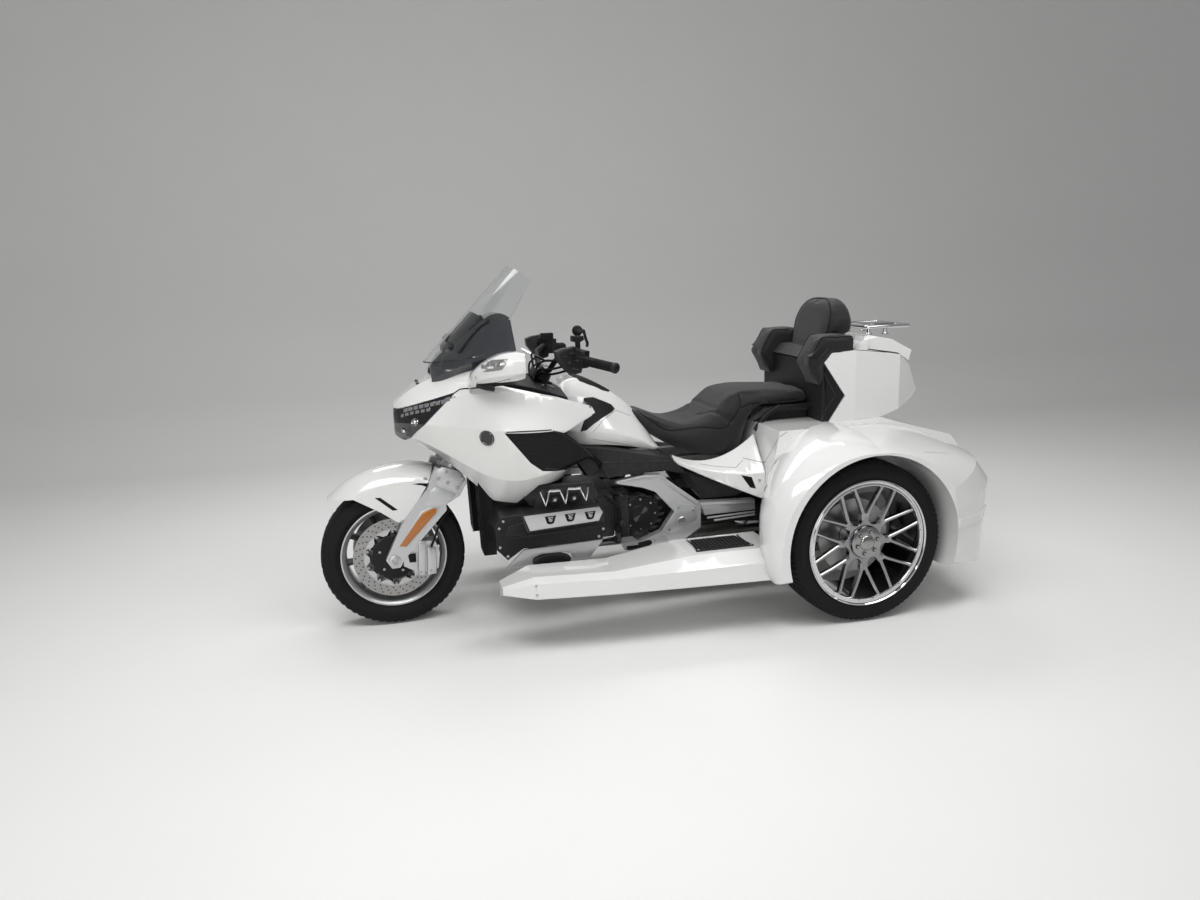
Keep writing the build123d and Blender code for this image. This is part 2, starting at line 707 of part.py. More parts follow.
# Seat: rider's dish with a raised passenger part behind
seat_sections = [
    # x, bottom y z, side y z, shoulder y z, crown y z
    (985, 50, 800, 62, 806, 50, 816, 20, 818),
    (1090, 130, 690, 150, 715, 120, 765, 40, 772),
    (1190, 180, 640, 205, 680, 170, 738, 60, 744),
    (1300, 190, 612, 215, 650, 180, 764, 60, 770),
    (1400, 170, 612, 205, 700, 165, 834, 60, 842),
]
pillion_sections = [
    # x, bottom y z, side y z, shoulder y z, crown y z
    (1400, 150, 799, 190, 812, 165, 834, 60, 842),
    (1500, 150, 799, 182, 815, 155, 858, 60, 866),
    (1750, 150, 799, 175, 815, 150, 850, 60, 858),
]
rider_shape = hull(seat_sections)
pillion_shape = hull(pillion_sections)
with BuildPart() as seat:
    add(rider_shape)
    add(pillion_shape)
    add(tank_shape, mode=Mode.SUBTRACT)
save(seat, "seat")

# Passenger base on the deck, with a grab rail on each side
base_bottom_z = deck_z + seat_gap
with BuildPart() as grab_rails:
    with BuildSketch(left_plane(-150)):
        trace([(1530, base_bottom_z), (1749, base_bottom_z), (1749, 798.7), (1440, 798.7)])
    extrude(amount=300)
    for sign in (-1, 1):
        with BuildSketch(left_plane(sign * 150)):
            trace([(1480, 748), (1500, 748), (1560, 776), (1748, 776), (1748, 794), (1550, 794)])
        extrude(amount=sign * 34)
save(grab_rails, "grab_rails")

# Trunk: a hollow box with a recess for the backrest and a lid hinged behind it
trunk_half_width = 290
trunk_front_rows = [(1784, base_bottom_z), (1854, 841), (1755, 985), (1785, 1020)]
trunk_lid_x = 1957
trunk_hinge_x = 1966
trunk_hinge_z = 1052
trunk_lid_half_width = 236
trunk_mouth_half_width = 216
trunk_rows = trunk_front_rows + [(1905, 1028), (trunk_lid_x - lid_gap, 1058), (trunk_lid_x - lid_gap, 1026),
                                 (2118, 996), (2190, 950), (2262, 826), (2226, 798), (2126, 768),
                                 (2030, base_bottom_z)]
cavity_floor_z = base_bottom_z + 6
trunk_cavity_rows = [(1862, cavity_floor_z), (1862, 930), (1905, 930), (1910, 1016), (1945, 1020), (2106, 991),
                     (2178, 940), (2245, 826), (2218, 806), (2124, 776), (2026, cavity_floor_z)]
trunk_plan_rows = [(1700, trunk_half_width - 6), (1900, trunk_half_width), (2120, 262), (2262, 170)]
with BuildPart() as trunk_plan:
    with BuildSketch(Plane(origin=(front_axle_x, 0, deck_z - 10))):
        trace(trunk_plan_rows + [(x, -y) for x, y in reversed(trunk_plan_rows)])
    extrude(amount=500)
with BuildPart() as trunk_plan_inner:
    with BuildSketch(Plane(origin=(front_axle_x, 0, deck_z - 10))):
        inner_plan_rows = [(x, y - trunk_wall) for x, y in trunk_plan_rows]
        trace(inner_plan_rows + [(x, -y) for x, y in reversed(inner_plan_rows)])
    extrude(amount=500)
with BuildPart() as trunk_cavity:
    with BuildSketch(left_plane(-300)):
        trace(trunk_cavity_rows)
    extrude(amount=600)
    add(trunk_plan_inner.part, mode=Mode.INTERSECT)
recess_half_width = 160
recess_rear_x = 1900
recess_z = 934
with BuildPart() as trunk_body:
    with BuildSketch(left_plane(-300)):
        trace(trunk_rows)
    extrude(amount=600)
    add(trunk_plan.part, mode=Mode.INTERSECT)
    add(trunk_cavity.part, mode=Mode.SUBTRACT)
    with BuildSketch(left_plane(-trunk_mouth_half_width)):
        trace([(1975, 960), (2085, 960), (2085, 1100), (1975, 1100)])
    extrude(amount=2 * trunk_mouth_half_width, mode=Mode.SUBTRACT)
    with BuildSketch(left_plane(-recess_half_width)):
        trace([(1700, recess_z), (recess_rear_x, recess_z), (recess_rear_x, 1100), (1700, 1100)])
    extrude(amount=2 * recess_half_width, mode=Mode.SUBTRACT)
    for sign in (-1, 1):
        with BuildSketch(left_plane(sign * (trunk_lid_half_width + seat_gap))):
            trace([(1930, 1024), (1978, 1024), (1978, 1060), (1948, 1060), (1930, 1044)])
        extrude(amount=sign * 14)
        with BuildSketch(left_plane(sign * (trunk_lid_half_width - 16))):
            with Locations((trunk_hinge_x, trunk_hinge_z)):
                Circle(hinge_pin_radius)
        extrude(amount=sign * 20)
save(trunk_body, "trunk_body")

trunk_lid_rows = [(trunk_lid_x, 1028), (2119, 1001), (2178, 965), (2190, 1008), (2096, 1058), (1998, 1078),
                  (1972, 1074), (trunk_lid_x + 3, 1058)]
trunk_lid_pocket_rows = [(1984, 1000), (1984, 1060), (2000, 1066), (2092, 1047), (2176, 1003), (2169, 976),
                         (2128, 1003), (2120, 960)]
with BuildPart() as trunk_lid:
    with BuildSketch(left_plane(-trunk_lid_half_width)):
        trace(trunk_lid_rows)
    extrude(amount=2 * trunk_lid_half_width)
    chamfer(trunk_lid.edges().filter_by(Axis.Y, reverse=True).group_by(Axis.Z)[-1], 12)
    with BuildSketch(left_plane(-trunk_lid_half_width + 2 * trunk_wall)):
        trace(trunk_lid_pocket_rows)
    extrude(amount=2 * trunk_lid_half_width - 4 * trunk_wall, mode=Mode.SUBTRACT)
    with BuildSketch(left_plane(-trunk_lid_half_width)):
        with Locations((trunk_hinge_x, trunk_hinge_z)):
            Circle(hinge_pin_radius + seat_gap)
    extrude(amount=2 * trunk_lid_half_width, mode=Mode.SUBTRACT)
save(trunk_lid, "trunk_lid")

# Luggage rack: slats on two feet
rack_top_z = 1112
with BuildPart() as luggage_rack:
    for y in (-120, -60, 0, 60, 120):
        with BuildSketch(left_plane(y - 12)):
            trace([(2030, rack_top_z - 12), (2250, rack_top_z - 12), (2250, rack_top_z), (2030, rack_top_z)])
        extrude(amount=24)
    for x in (2034, 2230):
        with BuildSketch(left_plane(-140)):
            trace([(x, rack_top_z - 12), (x + 20, rack_top_z - 12), (x + 20, rack_top_z), (x, rack_top_z)])
        extrude(amount=280)
    for sign in (-1, 1):
        with BuildSketch(left_plane(sign * 90)):
            trace([(2036, 1060), (2070, 1055), (2074, rack_top_z - 11), (2050, rack_top_z - 11)])
        extrude(amount=sign * 16)
    add(trunk_lid.part, mode=Mode.SUBTRACT)
save(luggage_rack, "luggage_rack")

with BuildPart() as trunk_panels:
    with BuildSketch(left_plane(-trunk_half_width + 6)):
        trace([(1752, base_bottom_z), (1784 - seat_gap, base_bottom_z), (1854 - seat_gap, 841),
               (1755 - seat_gap, 984), (1752, 984)])
    extrude(amount=2 * trunk_half_width - 12)
save(trunk_panels, "trunk_panels")

# Backrest: a tall centre pad standing in the trunk's recess, between two bolsters on the trunk's shoulders
pad_half_width = 135
pad_bottom_z = recess_z + seat_gap
pad_rows = [(1800, pad_bottom_z), (1884, pad_bottom_z), (1894, 1036), (1926, 1070), (1940, 1130), (1932, 1215),
            (1902, 1240), (1870, 1226), (1838, 1120)]
bolster_rows = [(1682, 997), (1736, 884), (1749, 884), (1749, 986), (1783, 1021), (1893, 1027.6), (1893, 1092),
                (1748, 1091)]
with BuildPart() as backrest:
    with BuildSketch(left_plane(-pad_half_width)):
        trace(pad_rows)
    extrude(amount=2 * pad_half_width)
    for sign in (-1, 1):
        with BuildSketch(left_plane(sign * (recess_half_width + 6))):
            trace(bolster_rows)
        extrude(amount=sign * 128)
save(backrest, "backrest")

# Rear body: fenders lofted outwards, joined to the deck over the boot
fender_sections = [
    # out, front foot x z, front x z, top x z, rear x z, rear shoulder x z, tail x z, rear foot x z
    (380, -300, 420, -262, 640, 40, 736, 330, 706, 545, 606, 600, 515, 580, 185),
    (600, -400, 224, -345, 590, 27, 712, 290, 664, 490, 580, 545, 495, 530, 185),
    (700, -372, 224, -300, 560, 10, 684, 200, 640, 330, 520, 345, 420, 325, 224),
]
tail_x = 628
deck_rows = [(-300, 450), (-286, 600), (-262, deck_z), (260, deck_z), (509, 668), (561, 603), (614, 515),
             (tail_x, 330), (tail_x, 262), (590, 185), (200, 190), (180, 450)]
with BuildPart() as fender_pair:
    for sign in (-1, 1):
        for out, fx, fz, mx, mz, tx, tz, nx, nz, rx, rz, ex, ez, gx, gz in fender_sections:
            with BuildSketch(left_plane(sign * out, rear_axle_x)):
                with BuildLine():
                    ThreePointArc((fx, fz), (mx, mz), (tx, tz))
                    ThreePointArc((tx, tz), (nx, nz), (rx, rz))
                    Line((rx, rz), (ex, ez))
                    Line((ex, ez), (gx, gz))
                    Line((gx, gz), (fx, fz))
                make_face()
        loft()
boot_rows = [(-240, 470), (-230, 600), (-200, 722), (250, 722), (500, 652), (546, 597), (599, 512),
             (612, 300), (580, 200), (215, 205), (195, 470)]
boot_hinge_x = 561
boot_hinge_z = 590
boot_opening_half_width = 330
boot_lid_half_width = 325
boot_lid_rows = [(564, 598), (616, 512), (tail_x, 335), (612, 335), (600, 505), (548, 590), (556, 598)]
with BuildPart() as rear_body:
    with BuildSketch(left_plane(-400, rear_axle_x)):
        trace(deck_rows)
    extrude(amount=800)
    add(fender_pair.part)
    for sign in (-1, 1):
        with BuildSketch(left_plane(sign * wheel_well_inner, rear_axle_x)):
            with Locations((0, rear_axle_z)):
                Circle(rear_tyre_radius + wheel_arch_gap)
        extrude(amount=sign * 320, mode=Mode.SUBTRACT)
    with BuildSketch(left_plane(-wheel_well_inner - 1, rear_axle_x)):
        trace([(-320, 150), (-320, 440), (-302, 452), (182, 452), (194, 192), (194, 150)])
    extrude(amount=2 * wheel_well_inner + 2, mode=Mode.SUBTRACT)
    with BuildSketch(left_plane(-360, rear_axle_x)):
        trace(boot_rows)
    extrude(amount=720, mode=Mode.SUBTRACT)
    with BuildSketch(left_plane(-boot_opening_half_width, rear_axle_x)):
        trace([(540, 604), (700, 604), (700, 330), (590, 330)])
    extrude(amount=2 * boot_opening_half_width, mode=Mode.SUBTRACT)
    for sign in (-1, 1):
        with BuildSketch(left_plane(sign * (boot_opening_half_width - 20), rear_axle_x)):
            with Locations((boot_hinge_x, boot_hinge_z)):
                Circle(hinge_pin_radius)
        extrude(amount=sign * 26)
save(rear_body, "rear_body")

with BuildPart() as boot_lid:
    with BuildSketch(left_plane(-boot_lid_half_width, rear_axle_x)):
        trace(boot_lid_rows)
    extrude(amount=2 * boot_lid_half_width)
    with BuildSketch(left_plane(-boot_lid_half_width, rear_axle_x)):
        with Locations((boot_hinge_x, boot_hinge_z)):
            Circle(hinge_pin_radius + seat_gap)
    extrude(amount=2 * boot_lid_half_width, mode=Mode.SUBTRACT)
save(boot_lid, "boot_lid")

bumper_rear_x = rear_overhang - 6
with BuildPart() as rear_bumper:
    with BuildSketch(left_plane(-400, rear_axle_x)):
        trace([(tail_x + seat_gap, 264), (bumper_rear_x, 272), (bumper_rear_x, 318), (tail_x + seat_gap, 328)])
    extrude(amount=800)
save(rear_bumper, "rear_bumper")

with BuildPart() as plate_holder:
    with BuildSketch(left_plane(-120, rear_axle_x)):
        trace([(bumper_rear_x + seat_gap, 196), (rear_overhang, 196), (rear_overhang, 314),
               (bumper_rear_x + seat_gap, 314)])
    extrude(amount=240)
    with BuildSketch(Plane(origin=(rear_axle_x + bumper_rear_x, 0, 236), x_dir=(0, 1, 0), z_dir=(1, 0, 0))):
        with Locations((-80, 0), (80, 0)):
            Circle(3.5)
    extrude(amount=10, mode=Mode.SUBTRACT)
save(plate_holder, "plate_holder")

with BuildPart() as tail_lamps:
    for sign in (-1, 1):
        with BuildSketch(left_plane(sign * 342, rear_axle_x)):
            trace([(618, 470), (tail_x + 1, 340), (tail_x + 12, 340), (tail_x + 2, 470)])
        extrude(amount=sign * 50)
    add(rear_body.part, mode=Mode.SUBTRACT)
save(tail_lamps, "tail_lamps")

# Cowls under the seat, from a thin tip beside the tank to the haunch ahead of the fender
seat_cowl_sections = [
    # x, inner y, outer y, bottom z, middle z, top z
    (1125, 200, 226, 606, 624, 636),
    (1300, 206, 262, 520, 560, 606),
    (1478, 215, 335, 446, 560, 700),
]
with BuildPart() as seat_cowls:
    for sign in (-1, 1):
        for x, inner_y, outer_y, bottom_z, middle_z, top_z in seat_cowl_sections:
            with BuildSketch(across_plane(x)):
                trace([(sign * inner_y, bottom_z), (sign * outer_y, bottom_z), (sign * outer_y, middle_z),
                       (sign * inner_y, top_z)])
        loft()
    add(seat.part, mode=Mode.SUBTRACT)
    add(side_covers.part, mode=Mode.SUBTRACT)
    add(rear_body.part, mode=Mode.SUBTRACT)
save(seat_cowls, "seat_cowls")

# Running boards between the front tip and the fender
board_floor_z = 322
board_sections = [
    # x, inner y, outer y, floor edge y, bottom z, edge z, floor z
    (366, 430, 520, 505, 238, 258, 264),
    (480, 400, 572, 540, 226, 285, 302),
    (780, 400, 598, 560, 220, 280, 296),
    (1080, 350, 608, 560, 214, 280, board_floor_z),
    (1420, 350, 622, 560, 210, 285, board_floor_z),
]
with BuildPart() as running_boards:
    for sign in (-1, 1):
        for x, inner_y, outer_y, edge_y, bottom_z, edge_z, floor_z in board_sections:
            with BuildSketch(across_plane(x)):
                trace([(sign * inner_y, floor_z - 60), (sign * outer_y, bottom_z), (sign * outer_y, edge_z),
                       (sign * edge_y, floor_z), (sign * inner_y, floor_z)])
        loft(ruled=True)
    add(rear_body.part, mode=Mode.SUBTRACT)
save(running_boards, "running_boards")

mat_thickness = 4
with BuildPart() as step_mats:
    for sign in (-1, 1):
        with BuildSketch(Plane(origin=(front_axle_x, 0, board_floor_z + seat_gap))):
            trace([(1135, sign * 385), (1320, sign * 385), (1345, sign * 525), (1110, sign * 525)])
        extrude(amount=mat_thickness)
save(step_mats, "step_mats")

# Foot controls ahead of the arms' lower ends
with BuildPart() as foot_controls:
    for sign in (-1, 1):
        with BuildSketch(left_plane(sign * (arm_inner + arm_width + seat_gap))):
            trace([(960, 262), (1010, 250), (1010, 270), (930, 322), (920, 306)])
        extrude(amount=sign * 14)
        with BuildSketch(left_plane(sign * (arm_inner + arm_width + seat_gap))):
            trace([(880, 308), (940, 308), (940, 322), (880, 322)], 3)
        extrude(amount=sign * 76)
save(foot_controls, "foot_controls")

# Radiators behind the front wheel and the exhaust under the frame
radiator_rear_x = 390 - seat_gap
radiator_louvre_pitch = 20
with BuildPart() as radiators:
    for sign in (-1, 1):
        with BuildSketch(left_plane(sign * 118)):
            trace([(340, 300), (radiator_rear_x, 300), (radiator_rear_x, 470), (366, 600), (330, 600)])
        extrude(amount=sign * 110)
        with BuildSketch(left_plane(sign * 130)):
            with Locations(*[(336, z) for z in range(330, 590, radiator_louvre_pitch)]):
                Rectangle(22, radiator_louvre_pitch / 2)
        extrude(amount=sign * 86, mode=Mode.SUBTRACT)
    for fairing_side in fairings:
        add(fairing_side, mode=Mode.SUBTRACT)
save(radiators, "radiators")

pipe_rows = [(560, 262), (600, 190), (900, 172), (2300, 160)]
pipe_y = 180
pipe_radius = 19
silencer_front_x = 1020
silencer_z = 176
silencer_radius = 52
silencer_length = 520
with BuildPart() as exhaust:
    for sign in (-1, 1):
        points = [(front_axle_x + x, sign * pipe_y, z) for x, z in pipe_rows]
        with BuildLine() as pipe:
            FilletPolyline(*points, radius=60)
        with BuildSketch(Plane(origin=pipe.line @ 0, z_dir=pipe.line % 0)):
            Circle(pipe_radius)
        sweep(path=pipe.line)
        with BuildSketch(across_plane(silencer_front_x)):
            with Locations((sign * pipe_y, silencer_z)):
                Circle(silencer_radius)
        extrude(amount=silencer_length)
        with BuildSketch(left_plane(sign * 150)):
            trace([(520, 262), (600, 262), (600, 299.7), (520, 299.7)])
        extrude(amount=sign * 60)
save(exhaust, "exhaust")
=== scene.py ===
import bpy
import bmesh
import math
from mathutils import Vector, Matrix
from mathutils.bvhtree import BVHTree
from mathutils.kdtree import KDTree


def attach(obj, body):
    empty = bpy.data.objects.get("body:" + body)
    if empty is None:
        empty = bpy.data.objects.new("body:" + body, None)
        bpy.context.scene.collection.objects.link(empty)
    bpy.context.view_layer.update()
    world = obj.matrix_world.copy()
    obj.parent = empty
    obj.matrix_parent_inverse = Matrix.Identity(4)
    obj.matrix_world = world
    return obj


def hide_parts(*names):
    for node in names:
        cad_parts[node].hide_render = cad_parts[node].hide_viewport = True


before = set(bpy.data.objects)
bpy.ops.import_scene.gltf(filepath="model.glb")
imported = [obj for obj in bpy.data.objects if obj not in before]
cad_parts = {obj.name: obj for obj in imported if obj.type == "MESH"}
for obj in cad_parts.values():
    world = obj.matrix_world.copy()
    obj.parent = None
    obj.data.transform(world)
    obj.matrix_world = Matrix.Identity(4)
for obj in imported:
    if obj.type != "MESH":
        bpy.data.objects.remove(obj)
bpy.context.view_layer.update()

# Datum: the front axle in the row frame. Tables of places are in mm, x behind the front axle, z above the ground.
frontAxle = Vector((-1.071, 0, 0.284))
rearHubs = {"Left": (0.699, -0.533, 0.320), "Right": (0.699, 0.533, 0.320)}


def at(x, y, z):
    return Vector((frontAxle.x + x / 1000, y / 1000, z / 1000))


# Shared effects: tone drift, roughness drift, grain, and lighter edges that are part wear and part painted highlight,
# as node groups used by every material

def newGroup(name, inputs, outputs):
    tree = bpy.data.node_groups.new(name, "ShaderNodeTree")
    for title, kind, value in inputs:
        socket = tree.interface.new_socket(title, in_out="INPUT", socket_type=kind)
        if value is not None:
            socket.default_value = value
    for title, kind in outputs:
        tree.interface.new_socket(title, in_out="OUTPUT", socket_type=kind)
    source = tree.nodes.new("NodeGroupInput")
    target = tree.nodes.new("NodeGroupOutput")
    return tree, source, target


def mathNode(tree, operation, a, b, clamp=False):
    node = tree.nodes.new("ShaderNodeMath")
    node.operation = operation
    node.use_clamp = clamp
    for socket, value in zip(node.inputs, (a, b)):
        if isinstance(value, (int, float)):
            socket.default_value = value
        else:
            tree.links.new(value, socket)
    return node.outputs[0]


def noiseNode(tree, vector, scale, detail, rough=0.5):
    node = tree.nodes.new("ShaderNodeTexNoise")
    node.inputs["Detail"].default_value = detail
    node.inputs["Roughness"].default_value = rough
    tree.links.new(vector, node.inputs["Vector"])
    if isinstance(scale, (int, float)):
        node.inputs["Scale"].default_value = scale
    else:
        tree.links.new(scale, node.inputs["Scale"])
    return node.outputs["Fac"]


def makeToneDrift():
    tree, source, target = newGroup("toneDrift", [
        ("Color", "NodeSocketColor", (0.5, 0.5, 0.5, 1)), ("Amount", "NodeSocketFloat", 0.06),
        ("Scale", "NodeSocketFloat", 6.0)], [("Color", "NodeSocketColor")])
    place = tree.nodes.new("ShaderNodeTexCoord").outputs["Object"]
    drift = noiseNode(tree, place, source.outputs["Scale"], 4.0, 0.6)
    centred = mathNode(tree, "SUBTRACT", drift, 0.5)
    change = mathNode(tree, "MULTIPLY", centred, source.outputs["Amount"])
    level = mathNode(tree, "ADD", change, 1.0)
    mix = tree.nodes.new("ShaderNodeVectorMath")
    mix.operation = "SCALE"
    tree.links.new(source.outputs["Color"], mix.inputs[0])
    tree.links.new(level, mix.inputs["Scale"])
    tree.links.new(mix.outputs[0], target.inputs["Color"])
    return tree


def makeRoughDrift():
    tree, source, target = newGroup("roughDrift", [
        ("Base", "NodeSocketFloat", 0.3), ("Amount", "NodeSocketFloat", 0.1), ("Scale", "NodeSocketFloat", 14.0)],
        [("Roughness", "NodeSocketFloat")])
    place = tree.nodes.new("ShaderNodeTexCoord").outputs["Object"]
    drift = noiseNode(tree, place, source.outputs["Scale"], 5.0, 0.65)
    centred = mathNode(tree, "SUBTRACT", drift, 0.5)
    change = mathNode(tree, "MULTIPLY", centred, source.outputs["Amount"])
    level = mathNode(tree, "ADD", change, source.outputs["Base"], clamp=True)
    tree.links.new(level, target.inputs["Roughness"])
    return tree


def makeGrain():
    tree, source, target = newGroup("surfaceGrain", [
        ("Scale", "NodeSocketFloat", 900.0), ("Strength", "NodeSocketFloat", 0.1),
        ("Depth", "NodeSocketFloat", 0.0003)], [("Normal", "NodeSocketVector")])
    place = tree.nodes.new("ShaderNodeTexCoord").outputs["Object"]
    fine = noiseNode(tree, place, source.outputs["Scale"], 2.0, 0.5)
    bump = tree.nodes.new("ShaderNodeBump")
    tree.links.new(source.outputs["Strength"], bump.inputs["Strength"])
    tree.links.new(source.outputs["Depth"], bump.inputs["Distance"])
    tree.links.new(fine, bump.inputs["Height"])
    tree.links.new(bump.outputs["Normal"], target.inputs["Normal"])
    return tree


def makeLeatherGrain():
    tree, source, target = newGroup("leatherGrain", [
        ("Scale", "NodeSocketFloat", 420.0), ("Strength", "NodeSocketFloat", 0.35),
        ("Depth", "NodeSocketFloat", 0.0006)], [("Normal", "NodeSocketVector")])
    place = tree.nodes.new("ShaderNodeTexCoord").outputs["Object"]
    cells = tree.nodes.new("ShaderNodeTexVoronoi")
    cells.feature = "DISTANCE_TO_EDGE"
    tree.links.new(place, cells.inputs["Vector"])
    tree.links.new(source.outputs["Scale"], cells.inputs["Scale"])
    ramp = mathNode(tree, "MULTIPLY", cells.outputs["Distance"], 5.0, clamp=True)
    broad = noiseNode(tree, place, 38.0, 3.0)
    height = mathNode(tree, "ADD", ramp, broad)
    bump = tree.nodes.new("ShaderNodeBump")
    tree.links.new(source.outputs["Strength"], bump.inputs["Strength"])
    tree.links.new(source.outputs["Depth"], bump.inputs["Distance"])
    tree.links.new(height, bump.inputs["Height"])
    tree.links.new(bump.outputs["Normal"], target.inputs["Normal"])
    return tree


# Convex edges, found by pointiness and broken up by noise, are lightened toward Edge Color: part wear, part painted
# highlight
def makeEdgeWearAndHighlight():
    tree, source, target = newGroup("wornEdge", [
        ("Color", "NodeSocketColor", (0.5, 0.5, 0.5, 1)), ("Edge Color", "NodeSocketColor", (0.8, 0.8, 0.8, 1)),
        ("Amount", "NodeSocketFloat", 0.4)], [("Color", "NodeSocketColor")])
    place = tree.nodes.new("ShaderNodeTexCoord").outputs["Object"]
    point = tree.nodes.new("ShaderNodeNewGeometry").outputs["Pointiness"]
    lifted = mathNode(tree, "SUBTRACT", point, 0.53)
    edge = mathNode(tree, "MULTIPLY", lifted, 9.0, clamp=True)
    patchy = noiseNode(tree, place, 60.0, 4.0, 0.7)
    broken = mathNode(tree, "MULTIPLY", edge, patchy)
    amount = mathNode(tree, "MULTIPLY", broken, source.outputs["Amount"], clamp=True)
    mix = tree.nodes.new("ShaderNodeMix")
    mix.data_type = "RGBA"
    tree.links.new(amount, mix.inputs["Factor"])
    for socket in mix.inputs:
        if socket.name == "A" and socket.type == "RGBA":
            tree.links.new(source.outputs["Color"], socket)
        if socket.name == "B" and socket.type == "RGBA":
            tree.links.new(source.outputs["Edge Color"], socket)
    for socket in mix.outputs:
        if socket.type == "RGBA":
            tree.links.new(socket, target.inputs["Color"])
    return tree


effects = {"tone": makeToneDrift(), "rough": makeRoughDrift(), "grain": makeGrain(), "leather": makeLeatherGrain(),
           "edge": makeEdgeWearAndHighlight()}


def useGroup(tree, effect, **values):
    node = tree.nodes.new("ShaderNodeGroup")
    node.node_tree = effects[effect]
    for title, value in values.items():
        node.inputs[title.replace("_", " ")].default_value = value
    return node


finishes = {
    # grain and leather: scale, strength and depth; tone and drift: how far color and roughness wander; edge: color of
    # the lighter convex edges, part wear and part painted highlight
    "pearlWhite": {"color": (0.74, 0.74, 0.72), "rough": 0.16, "coat": 1.0, "coatRough": 0.03, "tone": 0.03,
                   "grain": (2600, 0.03, 0.00005), "drift": 0.04},
    "fenderWhite": {"color": (0.76, 0.76, 0.745), "rough": 0.16, "coat": 1.0, "coatRough": 0.03, "tone": 0.03,
                    "grain": (2600, 0.03, 0.00005), "drift": 0.04},
    "satinBlack": {"color": (0.012, 0.012, 0.0125), "rough": 0.42, "specular": 0.13, "tone": 0.3,
                   "grain": (1500, 0.25, 0.0002), "drift": 0.16, "edge": (0.10, 0.10, 0.10)},
    "mattBlack": {"color": (0.007, 0.007, 0.0075), "rough": 0.62, "specular": 0.08, "tone": 0.3,
                  "grain": (900, 0.3, 0.0003), "drift": 0.16, "edge": (0.06, 0.06, 0.06)},
    "glossBlack": {"color": (0.007, 0.007, 0.008), "rough": 0.10, "coat": 0.6, "coatRough": 0.05, "tone": 0.2,
                   "grain": (2200, 0.03, 0.00005), "drift": 0.06},
    "smokedPlastic": {"color": (0.035, 0.037, 0.042), "rough": 0.12, "coat": 0.5, "coatRough": 0.05, "tone": 0.3,
                      "grain": (1800, 0.04, 0.00005), "drift": 0.05},
    "seatVinyl": {"color": (0.013, 0.013, 0.014), "rough": 0.44, "specular": 0.16, "tone": 0.25,
                  "leather": (430, 0.45, 0.0007), "drift": 0.12, "sheen": 0.15},
    "seatGrip": {"color": (0.010, 0.010, 0.0105), "rough": 0.58, "specular": 0.10, "tone": 0.25,
                 "leather": (900, 0.6, 0.0008), "drift": 0.1, "sheen": 0.2},
    "castSilver": {"color": (0.56, 0.565, 0.57), "rough": 0.34, "metallic": 0.75, "tone": 0.10,
                   "grain": (1800, 0.22, 0.00015), "drift": 0.12, "edge": (0.62, 0.62, 0.63)},
    "blackMetal": {"color": (0.018, 0.018, 0.019), "rough": 0.36, "specular": 0.18, "metallic": 0.35, "tone": 0.3,
                   "grain": (1100, 0.35, 0.0002), "drift": 0.16, "edge": (0.20, 0.20, 0.21)},
    "gunmetal": {"color": (0.30, 0.30, 0.31), "rough": 0.24, "metallic": 1.0, "tone": 0.12,
                 "grain": (1500, 0.08, 0.0001), "drift": 0.12, "edge": (0.6, 0.6, 0.6)},
    "lampGrey": {"color": (0.23, 0.235, 0.24), "rough": 0.12, "coat": 1.0, "coatRough": 0.03, "tone": 0.12,
                 "grain": (600, 0.05, 0.0001), "drift": 0.05},
    "brightChrome": {"color": (0.72, 0.72, 0.73), "rough": 0.07, "metallic": 1.0, "tone": 0.06,
                     "grain": (900, 0.03, 0.00005), "drift": 0.06},
    "darkChrome": {"color": (0.36, 0.355, 0.35), "rough": 0.10, "metallic": 1.0, "tone": 0.10,
                   "grain": (900, 0.04, 0.00005), "drift": 0.08},
    "boltSteel": {"color": (0.45, 0.45, 0.45), "rough": 0.28, "metallic": 1.0, "tone": 0.15,
                  "grain": (1500, 0.1, 0.0001), "drift": 0.15, "edge": (0.75, 0.75, 0.75)},
    "exhaustSteel": {"color": (0.34, 0.33, 0.32), "rough": 0.3, "metallic": 1.0, "tone": 0.25,
                     "grain": (700, 0.1, 0.0001), "drift": 0.2},
    "tyreRubber": {"color": (0.012, 0.012, 0.012), "rough": 0.70, "specular": 0.14, "tone": 0.35,
                   "grain": (700, 0.35, 0.0004), "drift": 0.14, "edge": (0.05, 0.05, 0.05)},
    "gripRubber": {"color": (0.011, 0.011, 0.011), "rough": 0.66, "specular": 0.13, "tone": 0.25,
                   "grain": (1400, 0.4, 0.0003), "drift": 0.1},
    "redLens": {"color": (0.42, 0.012, 0.012), "rough": 0.12, "coat": 1.0, "coatRough": 0.03, "tone": 0.15,
                "grain": (400, 0.15, 0.0004), "drift": 0.05},
    "amberLens": {"color": (0.40, 0.125, 0.006), "rough": 0.2, "coat": 1.0, "coatRough": 0.04, "tone": 0.2,
                  "grain": (600, 0.5, 0.0008), "drift": 0.1},
    "mirrorGlass": {"color": (0.82, 0.84, 0.85), "rough": 0.03, "metallic": 1.0, "tone": 0.02,
                    "grain": (300, 0.01, 0.00002), "drift": 0.02},
}
glassFinishes = {
    "clearScreen": {"color": (0.93, 0.95, 0.95), "rough": 0.015, "ior": 1.25},
}
paintDefaults = {"metallic": 0.0, "specular": 0.5, "coat": 0.0, "coatRough": 0.05, "sheen": 0.0, "toneScale": 9.0,
                 "driftScale": 22.0, "edgeWearAndHighlightAmount": 0.8}
glassDefaults = {"tone": 0.02, "toneScale": 4.0, "drift": 0.02, "driftScale": 30.0}


